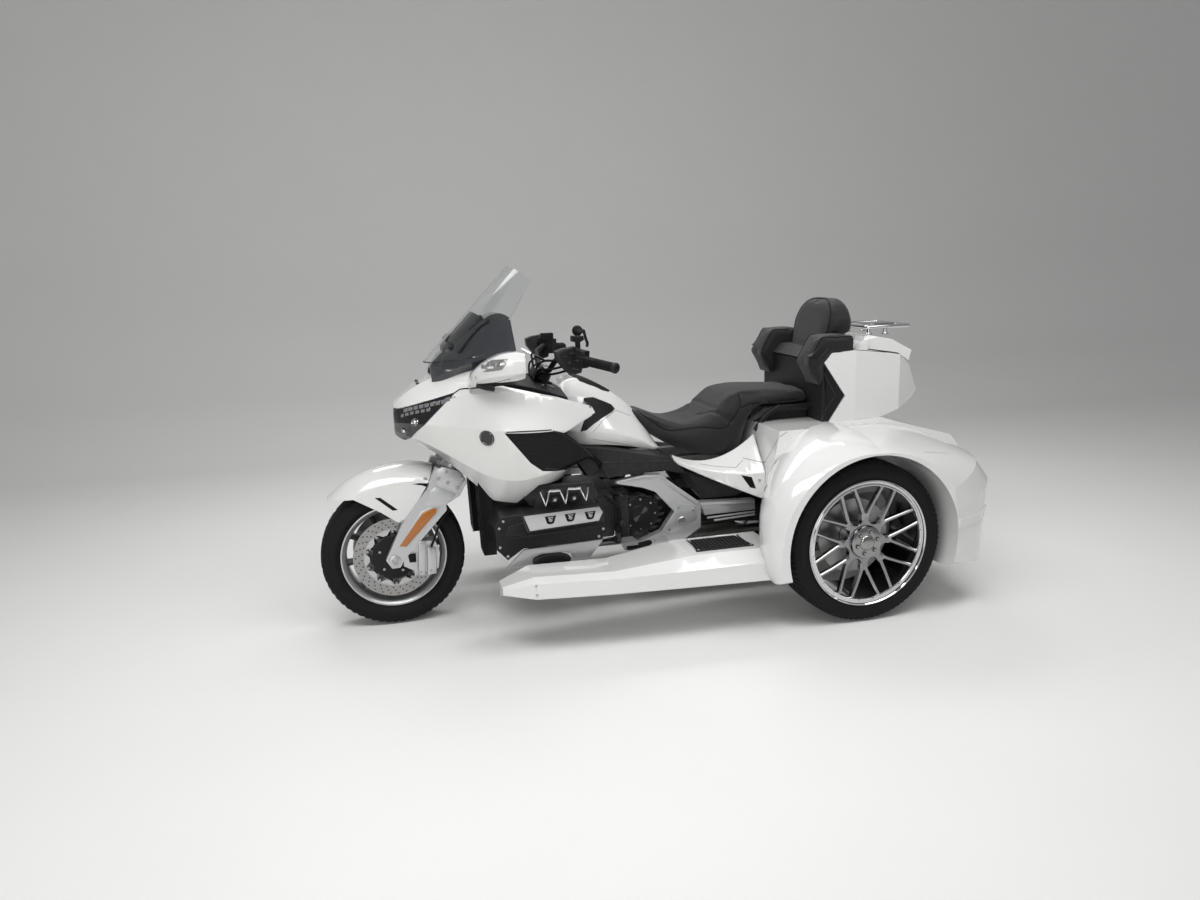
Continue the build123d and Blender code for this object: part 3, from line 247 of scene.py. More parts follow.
def paint(name, spec):
    spec = {**paintDefaults, **spec}
    material = bpy.data.materials.new(name)
    material.use_nodes = True
    tree = material.node_tree
    shader = tree.nodes["Principled BSDF"]
    red, green, blue = spec["color"]
    shader.inputs["Metallic"].default_value = spec["metallic"]
    shader.inputs["Specular IOR Level"].default_value = spec["specular"]
    shader.inputs["Coat Weight"].default_value = spec["coat"]
    shader.inputs["Coat Roughness"].default_value = spec["coatRough"]
    shader.inputs["Sheen Weight"].default_value = spec["sheen"]
    tone = useGroup(tree, "tone", Color=(red, green, blue, 1), Amount=spec["tone"], Scale=spec["toneScale"])
    color = tone.outputs["Color"]
    # edge lightens convex edges: part wear, part painted highlight
    if "edge" in spec:
        r, g, b = spec["edge"]
        edge = useGroup(tree, "edge", Edge_Color=(r, g, b, 1), Amount=spec["edgeWearAndHighlightAmount"])
        tree.links.new(color, edge.inputs["Color"])
        color = edge.outputs["Color"]
    tree.links.new(color, shader.inputs["Base Color"])
    rough = useGroup(tree, "rough", Base=spec["rough"], Amount=spec["drift"], Scale=spec["driftScale"])
    tree.links.new(rough.outputs["Roughness"], shader.inputs["Roughness"])
    kind = "leather" if "leather" in spec else "grain"
    scale, strength, depth = spec[kind]
    grain = useGroup(tree, kind, Scale=scale, Strength=strength, Depth=depth)
    tree.links.new(grain.outputs["Normal"], shader.inputs["Normal"])
    return material


def glaze(name, spec):
    spec = {**glassDefaults, **spec}
    material = bpy.data.materials.new(name)
    material.use_nodes = True
    tree = material.node_tree
    shader = tree.nodes["Principled BSDF"]
    red, green, blue = spec["color"]
    shader.inputs["Transmission Weight"].default_value = 1.0
    shader.inputs["IOR"].default_value = spec["ior"]
    tone = useGroup(tree, "tone", Color=(red, green, blue, 1), Amount=spec["tone"], Scale=spec["toneScale"])
    tree.links.new(tone.outputs["Color"], shader.inputs["Base Color"])
    rough = useGroup(tree, "rough", Base=spec["rough"], Amount=spec["drift"], Scale=spec["driftScale"])
    tree.links.new(rough.outputs["Roughness"], shader.inputs["Roughness"])
    return material


materials = {name: paint(name, spec) for name, spec in finishes.items()}
materials.update({name: glaze(name, spec) for name, spec in glassFinishes.items()})


discSteelSpec = {"color": (0.36, 0.355, 0.345), "rough": 0.32, "metallic": 1.0, "tone": 0.2, "toneScale": 30.0,
                 "grain": (500, 0.1, 0.0001), "drift": 0.15, "rings": 900.0, "ringStrength": 0.35, "ringDepth": 0.0002}


# Brake discs: fine turned rings round the front axle on top of the usual paint
def makeDiscSteel():
    material = paint("discSteel", discSteelSpec)
    tree = material.node_tree
    shader = tree.nodes["Principled BSDF"]
    place = tree.nodes.new("ShaderNodeTexCoord").outputs["Object"]
    shift = tree.nodes.new("ShaderNodeVectorMath")
    shift.operation = "SUBTRACT"
    shift.inputs[1].default_value = frontAxle
    tree.links.new(place, shift.inputs[0])
    flat = tree.nodes.new("ShaderNodeVectorMath")
    flat.operation = "MULTIPLY"
    flat.inputs[1].default_value = (1, 0, 1)
    tree.links.new(shift.outputs[0], flat.inputs[0])
    length = tree.nodes.new("ShaderNodeVectorMath")
    length.operation = "LENGTH"
    tree.links.new(flat.outputs[0], length.inputs[0])
    rings = tree.nodes.new("ShaderNodeTexNoise")
    rings.noise_dimensions = "1D"
    rings.inputs["Scale"].default_value = discSteelSpec["rings"]
    tree.links.new(length.outputs["Value"], rings.inputs["W"])
    bump = tree.nodes.new("ShaderNodeBump")
    bump.inputs["Strength"].default_value = discSteelSpec["ringStrength"]
    bump.inputs["Distance"].default_value = discSteelSpec["ringDepth"]
    tree.links.new(rings.outputs["Fac"], bump.inputs["Height"])
    tree.links.new(bump.outputs["Normal"], shader.inputs["Normal"])
    return material


materials["discSteel"] = makeDiscSteel()

nodeFinish = {
    "main_frame": "castSilver", "front_frame": "mattBlack", "engine_block": "blackMetal",
    "cylinder_heads": "blackMetal", "engine_trims": "castSilver", "gearbox": "blackMetal",
    "radiators": "mattBlack", "exhaust": "exhaustSteel", "rear_axle": "mattBlack", "front_cowl": "pearlWhite",
    "headlights": "glossBlack", "fairing_left": "pearlWhite", "fairing_right": "pearlWhite",
    "vent_panels": "satinBlack", "side_covers": "satinBlack", "tank_cover": "pearlWhite",
    "dash_cowl": "satinBlack", "windscreen": "clearScreen", "screen_cowl": "smokedPlastic",
    "mirrors": "pearlWhite", "seat": "seatVinyl", "backrest": "seatVinyl", "grab_rails": "satinBlack",
    "trunk_body": "pearlWhite", "trunk_panels": "satinBlack", "seat_cowls": "pearlWhite",
    "rear_body": "fenderWhite", "rear_bumper": "fenderWhite", "running_boards": "fenderWhite",
    "step_mats": "mattBlack", "foot_controls": "castSilver", "tail_lamps": "redLens", "plate_holder": "satinBlack",
    "fork": "castSilver", "front_fender": "pearlWhite", "calipers": "castSilver", "handlebar": "satinBlack",
    "hand_controls": "gripRubber", "front_rim": "castSilver", "front_tyre": "tyreRubber",
    "front_discs": "discSteel", "rear_rim_left": "gunmetal", "rear_tyre_left": "tyreRubber",
    "rear_rim_right": "gunmetal", "rear_tyre_right": "tyreRubber", "trunk_lid": "pearlWhite",
    "luggage_rack": "brightChrome", "boot_lid": "fenderWhite",
}
for nodeName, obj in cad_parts.items():
    obj.data.materials.clear()
    obj.data.materials.append(materials[nodeFinish[nodeName]])

softEdges = {
    # width of the rounded edge in mm, smallest angle in degrees that counts as an edge
    "trunk_lid": (1.8, 14), "trunk_panels": (5, 14), "front_cowl": (2.4, 12), "tank_cover": (5, 16),
    "running_boards": (1.2, 12), "seat_cowls": (3, 12), "vent_panels": (3, 14), "boot_lid": (4, 14),
    "dash_cowl": (3, 14), "rear_bumper": (4, 14), "mirrors": (2.4, 14), "fairing_left": (0.8, 12),
    "fairing_right": (0.8, 12),
}
for nodeName, (width, angle) in softEdges.items():
    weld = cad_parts[nodeName].modifiers.new("weld", "WELD")
    weld.merge_threshold = 0.00002
    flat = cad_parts[nodeName].modifiers.new("flat", "DECIMATE")
    flat.decimate_type = "DISSOLVE"
    flat.angle_limit = math.radians(0.6)
    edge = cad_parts[nodeName].modifiers.new("edge", "BEVEL")
    edge.width = width / 1000
    edge.segments = 3
    edge.limit_method = "ANGLE"
    edge.angle_limit = math.radians(angle)
    edge.use_clamp_overlap = False
    edge.harden_normals = True
print("stage: materials on", len(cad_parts), "nodes")

# Floor, light and camera

stageSpec = {
    # y and z of the floor in m, curving up into a backdrop, and its ends in x
    "profile": [(-14, 0), (3.2, 0), (4.4, 0.35), (5.2, 1.3), (5.6, 3.0), (5.7, 8.0)], "ends": (-14, 9), "drop": 0.0005,
    "paint": {"color": (0.84, 0.835, 0.82), "rough": 0.5, "tone": 0.04, "grain": (200, 0.05, 0.0005), "drift": 0.1,
              "toneScale": 2.0},
    "worldColor": (0.88, 0.89, 0.90, 1), "worldStrength": 0.30,
}
cameraSpec = {
    # angles in radians; place from the front axle's x in m; focal length and picture width in pixels
    "pitch": 0.2070, "roll": 0.0296, "yaw": 0.2489, "place": (-0.0508, -3.6478, 1.4253), "focal": 912.52,
    "width": 1200, "sensor": 36,
}
lamps = {
    # place, target, size in m and power in W
    "ceilingFront": ((-1.6, -1.8, 3.4), (-0.6, 0, 0.5), (2.6, 1.2), 58),
    "ceilingRear": ((1.2, -1.6, 3.4), (0.6, 0, 0.5), (2.6, 1.2), 50),
    "ceilingFar": ((0.0, 1.8, 3.2), (0.0, 0, 0.6), (4.0, 0.9), 46),
    "windowSide": ((-2.6, -4.6, 1.9), (-0.3, 0, 0.6), (2.4, 1.8), 42),
}


def addStage():
    bm = bmesh.new()
    near, far = [[bm.verts.new((x, y, z - stageSpec["drop"])) for y, z in stageSpec["profile"]]
                 for x in stageSpec["ends"]]
    for i in range(len(near) - 1):
        bm.faces.new((near[i], far[i], far[i + 1], near[i + 1]))
    mesh = bpy.data.meshes.new("floor")
    bm.to_mesh(mesh)
    bm.free()
    for polygon in mesh.polygons:
        polygon.use_smooth = True
    floor = bpy.data.objects.new("floor", mesh)
    bpy.context.scene.collection.objects.link(floor)
    mesh.materials.append(paint("floorPaint", stageSpec["paint"]))


def addLight(name, place, target, size, power):
    light = bpy.data.lights.new(name, "AREA")
    light.shape = "RECTANGLE"
    light.size, light.size_y = size
    light.energy = power
    obj = bpy.data.objects.new(name, light)
    obj.location = place
    direction = Vector(target) - Vector(place)
    obj.rotation_euler = direction.to_track_quat("-Z", "Y").to_euler()
    bpy.context.scene.collection.objects.link(obj)


def addCamera():
    pitch, roll, yaw = cameraSpec["pitch"], cameraSpec["roll"], cameraSpec["yaw"]
    forward = Vector((math.sin(yaw) * math.cos(pitch), math.cos(yaw) * math.cos(pitch), -math.sin(pitch)))
    right = Vector((math.cos(yaw), -math.sin(yaw), 0))
    down = forward.cross(right)
    rightRolled = right * math.cos(roll) + down * math.sin(roll)
    downRolled = down * math.cos(roll) - right * math.sin(roll)
    camera = bpy.data.cameras.new("camera")
    camera.sensor_width = cameraSpec["sensor"]
    camera.lens = cameraSpec["focal"] / cameraSpec["width"] * cameraSpec["sensor"]
    camera.clip_start = 0.05
    camera.clip_end = 60
    obj = bpy.data.objects.new("camera", camera)
    turn = Matrix((rightRolled, -downRolled, -forward)).transposed()
    x, y, z = cameraSpec["place"]
    obj.matrix_world = Matrix.Translation((frontAxle.x + x, y, z)) @ turn.to_4x4()
    bpy.context.scene.collection.objects.link(obj)
    bpy.context.scene.camera = obj


def addWorld():
    world = bpy.data.worlds.new("studio")
    world.use_nodes = True
    background = world.node_tree.nodes["Background"]
    background.inputs["Color"].default_value = stageSpec["worldColor"]
    background.inputs["Strength"].default_value = stageSpec["worldStrength"]
    bpy.context.scene.world = world


addStage()
addCamera()
addWorld()
for name, (place, target, size, power) in lamps.items():
    addLight(name, place, target, size, power)
bpy.context.scene.view_settings.view_transform = "Standard"
print("stage: floor, light and camera placed")


# Mesh forms: lofts, turned profiles, tubes and bevelled prisms gathered into one object

class Form:
    def __init__(self):
        self.bm = bmesh.new()

    def face(self, verts, finish=0):
        if len(set(verts)) < 3:
            return
        try:
            made = self.bm.faces.new(verts)
        except ValueError:  # the same face twice
            return
        made.material_index = finish
        made.smooth = True

    def ring(self, points):
        return [self.bm.verts.new(p) for p in points]

    def bridge(self, a, b, closed, finish=0):
        count = len(a)
        for i in range(count if closed else count - 1):
            j = (i + 1) % count
            self.face((a[i], a[j], b[j], b[i]), finish)

    def loft(self, rings, finish=0):
        made = [self.ring(r) for r in rings]
        for a, b in zip(made[:-1], made[1:]):
            self.bridge(a, b, True, finish)
        self.face(list(reversed(made[0])), finish)
        self.face(made[-1], finish)

    # profile holds place along the axis and radius, in mm
    def turned(self, profile, centre, axis, sides, finish=0, closed=False):
        axis = Vector(axis).normalized()
        across = axis.orthogonal().normalized()
        if abs(axis.y) > 0.99:
            across = Vector((1, 0, 0))
        other = axis.cross(across)
        rings = []
        for i in range(sides):
            angle = math.radians(360 * i / sides)
            out = across * math.cos(angle) + other * math.sin(angle)
            rings.append(self.ring([Vector(centre) + axis * (a / 1000) + out * (r / 1000) for a, r in profile]))
        for a, b in zip(rings, rings[1:] + rings[:1]):
            self.bridge(a, b, closed, finish)

    # radius is one number, or one for each point of the path
    def tube(self, path, radius, sides, flat=1.0):
        path = [Vector(p) for p in path]
        radii = radius if isinstance(radius, (list, tuple)) else [radius] * len(path)
        normal = None
        rings = []
        for i, point in enumerate(path):
            before = path[max(i - 1, 0)]
            after = path[min(i + 1, len(path) - 1)]
            along = (after - before).normalized()
            if normal is None:
                normal = along.orthogonal().normalized()
            normal = (normal - along * normal.dot(along)).normalized()
            side = along.cross(normal)
            rings.append([point + (normal * math.cos(2 * math.pi * k / sides) * flat
                                   + side * math.sin(2 * math.pi * k / sides)) * radii[i] / 1000
                          for k in range(sides)])
        self.loft(rings)

    # outline lies in the plane of across and up; the prism grows out of that plane, with a rounded far rim
    def prism(self, outline, origin, across, up, depth, bevel, base=0.0):
        across, up = Vector(across).normalized(), Vector(up).normalized()
        out = across.cross(up)
        points = [Vector((a, b)) for a, b in outline]
        area = sum(p.x * q.y - q.x * p.y for p, q in zip(points, points[1:] + points[:1]))
        if area < 0:
            points.reverse()

        def shrunk(distance):
            result = []
            for i, p in enumerate(points):
                q, r = points[i - 1], points[(i + 1) % len(points)]
                first, second = (p - q).normalized(), (r - p).normalized()
                normal = Vector((-first.y, first.x)) + Vector((-second.y, second.x))
                normal.normalize()
                stretch = max(0.4, normal.dot(Vector((-first.y, first.x))))
                result.append(p + normal * distance / stretch)
            return result

        def level(shape, height):
            return [Vector(origin) + (across * p.x + up * p.y + out * height) / 1000 for p in shape]

        self.loft([level(points, base), level(points, depth - bevel),
                   level(shrunk(bevel * 0.35), depth - bevel * 0.3), level(shrunk(bevel), depth)])

    def ball(self, centre, size, sides, rings):
        rows = []
        for i in range(1, rings):
            lift = math.pi * i / rings
            rows.append([Vector(centre) + Vector((size[0] * math.sin(lift) * math.cos(2 * math.pi * k / sides),
                                                  size[1] * math.sin(lift) * math.sin(2 * math.pi * k / sides),
                                                  -size[2] * math.cos(lift))) / 1000 for k in range(sides)])
        self.loft(rows)

    # A round head with a socket, or else a plain hexagon
    def bolt(self, place, axis, radius, height, socket=True):
        profile = [(0, radius), (height * 0.7, radius), (height, radius * 0.86)]
        if socket:
            profile += [(height, radius * 0.5), (height * 0.45, radius * 0.45), (height * 0.45, 0.01)]
        else:
            profile += [(height, 0.01)]
        self.turned(profile, place, axis, 12 if socket else 6)

    # Adds the mirror image for the other side of the machine
    def twin(self):
        geometry = self.bm.verts[:] + self.bm.edges[:] + self.bm.faces[:]
        copy = bmesh.ops.duplicate(self.bm, geom=geometry)["geom"]
        verts = [g for g in copy if isinstance(g, bmesh.types.BMVert)]
        faces = [g for g in copy if isinstance(g, bmesh.types.BMFace)]
        for vert in verts:
            vert.co.y = -vert.co.y
        bmesh.ops.reverse_faces(self.bm, faces=faces)

    # angle is the smallest one in degrees that stays a sharp edge
    def done(self, name, body, finishNames, replaced=(), twin=False, angle=35):
        if twin:
            self.twin()
        bmesh.ops.recalc_face_normals(self.bm, faces=self.bm.faces[:])
        mesh = bpy.data.meshes.new(name)
        self.bm.to_mesh(mesh)
        self.bm.free()
        for finishName in finishNames:
            mesh.materials.append(materials[finishName])
        mesh.set_sharp_from_angle(angle=math.radians(angle))
        obj = bpy.data.objects.new(name, mesh)
        bpy.context.scene.collection.objects.link(obj)
        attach(obj, body)
        if replaced:
            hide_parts(*replaced)


def bake(obj):
    bpy.context.view_layer.update()
    graph = bpy.context.evaluated_depsgraph_get()
    fresh = bpy.data.meshes.new_from_object(obj.evaluated_get(graph))
    obj.modifiers.clear()
    obj.data = fresh


# Repeats: a small mesh is set on points with a geometry-nodes group, then baked into the piece

def makeRepeater():
    tree = bpy.data.node_groups.new("setOnPoints", "GeometryNodeTree")
    tree.interface.new_socket("Geometry", in_out="INPUT", socket_type="NodeSocketGeometry")
    tree.interface.new_socket("Item", in_out="INPUT", socket_type="NodeSocketObject")
    tree.interface.new_socket("Material", in_out="INPUT", socket_type="NodeSocketMaterial")
    tree.interface.new_socket("Geometry", in_out="OUTPUT", socket_type="NodeSocketGeometry")
    source = tree.nodes.new("NodeGroupInput")
    target = tree.nodes.new("NodeGroupOutput")
    item = tree.nodes.new("GeometryNodeObjectInfo")
    item.transform_space = "ORIGINAL"
    turn = tree.nodes.new("GeometryNodeInputNamedAttribute")
    turn.data_type = "FLOAT_VECTOR"
    turn.inputs["Name"].default_value = "turn"
    spread = tree.nodes.new("GeometryNodeInstanceOnPoints")
    real = tree.nodes.new("GeometryNodeRealizeInstances")
    cover = tree.nodes.new("GeometryNodeSetMaterial")
    links = tree.links
    links.new(source.outputs["Geometry"], spread.inputs["Points"])
    links.new(source.outputs["Item"], item.inputs["Object"])
    links.new(item.outputs["Geometry"], spread.inputs["Instance"])
    links.new(turn.outputs["Attribute"], spread.inputs["Rotation"])
    links.new(spread.outputs["Instances"], real.inputs["Geometry"])
    links.new(real.outputs["Geometry"], cover.inputs["Geometry"])
    links.new(source.outputs["Material"], cover.inputs["Material"])
    links.new(cover.outputs["Geometry"], target.inputs["Geometry"])
    return tree


repeater = makeRepeater()


# places holds position, direction and turn about it in degrees; item is a Form drawn about the origin along +Z
def repeat(name, item, places, body, finishName):
    small = bpy.data.meshes.new(name + "Item")
    bmesh.ops.recalc_face_normals(item.bm, faces=item.bm.faces[:])
    item.bm.to_mesh(small)
    item.bm.free()
    itemObject = bpy.data.objects.new(name + "Item", small)
    mesh = bpy.data.meshes.new(name)
    mesh.from_pydata([p for p, _, _ in places], [], [])
    turns = mesh.attributes.new("turn", "FLOAT_VECTOR", "POINT")
    for value, (_, direction, spin) in zip(turns.data, places):
        spun = Matrix.Rotation(math.radians(spin), 3, "Z").to_quaternion()
        value.vector = (Vector(direction).to_track_quat("Z", "Y") @ spun).to_euler("XYZ")
    obj = bpy.data.objects.new(name, mesh)
    bpy.context.scene.collection.objects.link(obj)
    modifier = obj.modifiers.new("repeat", "NODES")
    modifier.node_group = repeater
    sockets = {s.name: s.identifier for s in repeater.interface.items_tree if s.in_out == "INPUT"}
    modifier[sockets["Item"]] = itemObject
    modifier[sockets["Material"]] = materials[finishName]
    bake(obj)
    bpy.data.objects.remove(itemObject)
    obj.data.set_sharp_from_angle(angle=math.radians(35))
    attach(obj, body)


def boltItem(radius, height, socket):
    item = Form()
    item.bolt((0, 0, 0), (0, 0, 1), radius, height, socket)
    return item


# Draping: panels, tiles, pipings and seams laid on the surface of a node or of a finished piece

def surfaceOf(*names):
    bm = bmesh.new()
    for name in names:
        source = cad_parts[name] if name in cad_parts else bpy.data.objects[name]
        bm.from_mesh(source.data)
    tree = BVHTree.FromBMesh(bm)
    bm.free()
    return tree


# A curve through the points, in steps of about so many mm
def smoothLine(points, step):
    points = [Vector(p) for p in points]
    line = []
    for i in range(len(points) - 1):
        before = points[i - 1] if i else points[0] * 2 - points[1]
        after = points[i + 2] if i + 2 < len(points) else points[-1] * 2 - points[-2]
        a, b = points[i], points[i + 1]
        count = max(1, round((b - a).length / (step / 1000)))
        for k in range(count):
            t = k / count
            line.append(0.5 * (2 * a + (b - before) * t + (2 * before - 5 * a + 4 * b - after) * t * t
                               + (3 * a - before - 3 * b + after) * t ** 3))
    line.append(points[-1])
    return line


# The point of the surface met along toward, or else the nearest one, raised by lift in mm
def seated(point, tree, lift, toward=None):
    if toward is not None:
        start = point - Vector(toward) * 0.5
        place, normal, _, _ = tree.ray_cast(start, Vector(toward))
        if place is not None:
            if normal.dot(Vector(toward)) > 0:
                normal = -normal
            return place + normal * lift / 1000, normal
    place, normal, _, _ = tree.find_nearest(point)
    return place + normal * lift / 1000, normal


def piping(form, points, tree, radius, lift):
    form.tube([seated(p, tree, lift)[0] for p in smoothLine(points, 8)], radius, 8)


def dense(points, step):
    points = [Vector(p) for p in points]
    line = []
    for a, b in zip(points[:-1], points[1:]):
        count = max(1, round((b - a).length / (step / 1000)))
        line += [a.lerp(b, k / count) for k in range(count)]
    return line + [points[-1]]


# outline holds points in the row frame; the patch is gridded in the plane across toward and laid on the surface
def patch(form, outline, tree, lift, step, rim, toward=(0, 1, 0)):
    toward = Vector(toward).normalized()
    across = Vector((1, 0, 0))
    up = toward.cross(across) * -1
    origin = Vector(outline[0])
    bm = bmesh.new()
    flat = [Vector(((Vector(p) - origin).dot(across), (Vector(p) - origin).dot(up), 0)) for p in outline]
    bm.faces.new([bm.verts.new(p) for p in flat])
    for axis in (0, 1):
        low, high = min(p[axis] for p in flat), max(p[axis] for p in flat)
        count = int((high - low) * 1000 / step)
        for k in range(1, count + 1):
            cut = low + (high - low) * k / (count + 1)
            place = Vector((cut, 0, 0)) if axis == 0 else Vector((0, cut, 0))
            normal = Vector((1, 0, 0)) if axis == 0 else Vector((0, 1, 0))
            geometry = bm.verts[:] + bm.edges[:] + bm.faces[:]
            bmesh.ops.bisect_plane(bm, geom=geometry, plane_co=place, plane_no=normal, dist=1e-6)
    made = {}
    for vert in bm.verts:
        point = origin + across * vert.co.x + up * vert.co.y
        place, normal = seated(point, tree, lift, toward)
        made[vert] = (form.bm.verts.new(place), form.bm.verts.new(place - normal * rim / 1000))
    for face in bm.faces:
        form.face([made[v][0] for v in face.verts])
    for edge in bm.edges:
        if len(edge.link_faces) == 1:
            a, b = edge.verts
            form.face((made[a][0], made[b][0], made[b][1], made[a][1]))
    bm.free()


def tile(form, place, normal, along, length, width, height, bevel=0.4):
    normal = Vector(normal).normalized()
    across = Vector(along) - normal * Vector(along).dot(normal)
    across.normalize()
    half, side = length / 2, width / 2
    form.prism([(-half, -side), (half, -side), (half, side), (-half, side)], place, across, normal.cross(across),
               height, bevel, base=-2.0)


# Tiles between a and b; share is the part of the pitch that a tile fills
def tileRow(form, a, b, tree, count, share, width, height):
    a, b = Vector(a), Vector(b)
    for i in range(count):
        middle = a.lerp(b, (i + 0.5) / count)
        place, normal = seated(middle, tree, 0)
        tile(form, place, normal, b - a, (b - a).length * 1000 / count * share, width, height)


def seam(form, points, tree, radius=1.0, lift=-0.3, toward=(0, 1, 0)):
    form.tube([seated(p, tree, lift, toward)[0] for p in dense(points, 14)], radius, 6)


# Wheels

tyres = {
    # mm: half is half the width, bead the inner radius, blocks the number of tread blocks, cut their depth
    "tyreRearLeft": {"node": "rear_tyre_left", "body": "rear_wheel_left", "centre": rearHubs["Left"],
                     "radius": 320, "half": 113, "bead": 252, "beadHalf": 103, "blocks": 84, "cut": 4.5},
    "tyreRearRight": {"node": "rear_tyre_right", "body": "rear_wheel_right", "centre": rearHubs["Right"],
                      "radius": 320, "half": 113, "bead": 252, "beadHalf": 103, "blocks": 84, "cut": 4.5},
    "tyreFront": {"node": "front_tyre", "body": "front_wheel", "centre": frontAxle,
                  "radius": 284, "half": 79, "bead": 209, "beadHalf": 54, "blocks": 60, "cut": 4},
}


def tyreProfile(spec):
    half, radius, bead, beadHalf = spec["half"], spec["radius"], spec["bead"], spec["beadHalf"]
    flank = (bead + radius - 12) / 2
    side = [(beadHalf, bead), (beadHalf + 4, bead + 3), (half - 2.2, flank - 14), (half - 1.2, flank - 12),
            (half, flank), (half - 1.5, flank + 9), (half - 3.4, flank + 11), (half - 7, radius - 15),
            (half - 12, radius - 9), (half - 18, radius - 5.5)]
    tread = [(half * 0.70, radius - 3.2), (half * 0.62, radius - 2.2), (half * 0.61, radius - 8),
             (half * 0.55, radius - 8), (half * 0.54, radius - 1.5), (half * 0.27, radius - 0.4),
             (half * 0.26, radius - 7), (half * 0.18, radius - 7), (half * 0.17, radius - 0.2), (0, radius)]
    outer = side + tread
    return outer + [(-a, r) for a, r in reversed(outer[:-1])]


def addTyre(name, spec):
    form = Form()
    profile = tyreProfile(spec)
    half = spec["half"]
    count = spec["blocks"] * 3
    rings = []
    for i in range(count):
        angle = 2 * math.pi * i / count
        ring = []
        for a, r in profile:
            depth = 0.0
            skew = 1 if a > 0 else 0
            if i % 3 == skew and half * 0.62 <= abs(a) <= half - 10:
                depth = spec["cut"]
            if i % 6 == 3 + skew and half * 0.27 <= abs(a) <= half * 0.56:
                depth = max(depth, spec["cut"] * 0.6 if r > spec["radius"] - 6 else 0)
            rr = (r - depth) / 1000
            ring.append(Vector(spec["centre"]) + Vector((rr * math.cos(angle), a / 1000, rr * math.sin(angle))))
        rings.append(ring)
    made = [form.ring(r) for r in rings]
    for a, b in zip(made, made[1:] + made[:1]):
        form.bridge(a, b, False)
    inner = []
    for i in range(count):
        angle = 2 * math.pi * i / count
        rr = (spec["bead"] - 12) / 1000
        inner.append([Vector(spec["centre"]) + Vector((rr * math.cos(angle), s * (spec["beadHalf"] - 6) / 1000,
                                                       rr * math.sin(angle))) for s in (1, -1)])
    innerRings = [form.ring(r) for r in inner]
    for k in range(count):
        j = (k + 1) % count
        form.face((made[k][0], innerRings[k][0], innerRings[j][0], made[j][0]))
        form.face((innerRings[k][0], innerRings[k][1], innerRings[j][1], innerRings[j][0]))
        form.face((innerRings[k][1], made[k][-1], made[j][-1], innerRings[j][1]))
    form.done(name, spec["body"], ["tyreRubber"], (spec["node"],), angle=28)


for name, spec in tyres.items():
    addTyre(name, spec)
print("stage: tyres")


def wheelPoint(centre, outward, radius, angle, depth):
    turn = math.radians(angle)
    return Vector(centre) + Vector((radius * math.cos(turn), outward * depth, radius * math.sin(turn))) / 1000


# rows holds radius, angle, half width, front depth and back depth, in mm and degrees
def spoke(form, centre, outward, rows, finish=0):
    rings = []
    for i, (radius, angle, half, front, back) in enumerate(rows):
        here = wheelPoint(centre, outward, radius, angle, 0)
        before = wheelPoint(centre, outward, *rows[max(i - 1, 0)][:2], 0)
        after = wheelPoint(centre, outward, *rows[min(i + 1, len(rows) - 1)][:2], 0)
        along = (after - before).normalized()
        side = along.cross(Vector((0, 1, 0))).normalized()
        lift = Vector((0, outward, 0)) / 1000
        rings.append([here + side * half / 1000 + lift * back, here + side * half / 1000 + lift * (front - 3.5),
                      here + side * half * 0.55 / 1000 + lift * front,
                      here - side * half * 0.55 / 1000 + lift * front,
                      here - side * half / 1000 + lift * (front - 3.5), here - side * half / 1000 + lift * back])
    form.loft(rings, finish)


rimSpec = {"spokes": 8, "studs": 16, "studRadius": 230, "nuts": 6, "nutRadius": 43.5}
rearRims = {"Left": (rearHubs["Left"], -1, "rear_rim_left", "rear_wheel_left"),
            "Right": (rearHubs["Right"], 1, "rear_rim_right", "rear_wheel_right")}


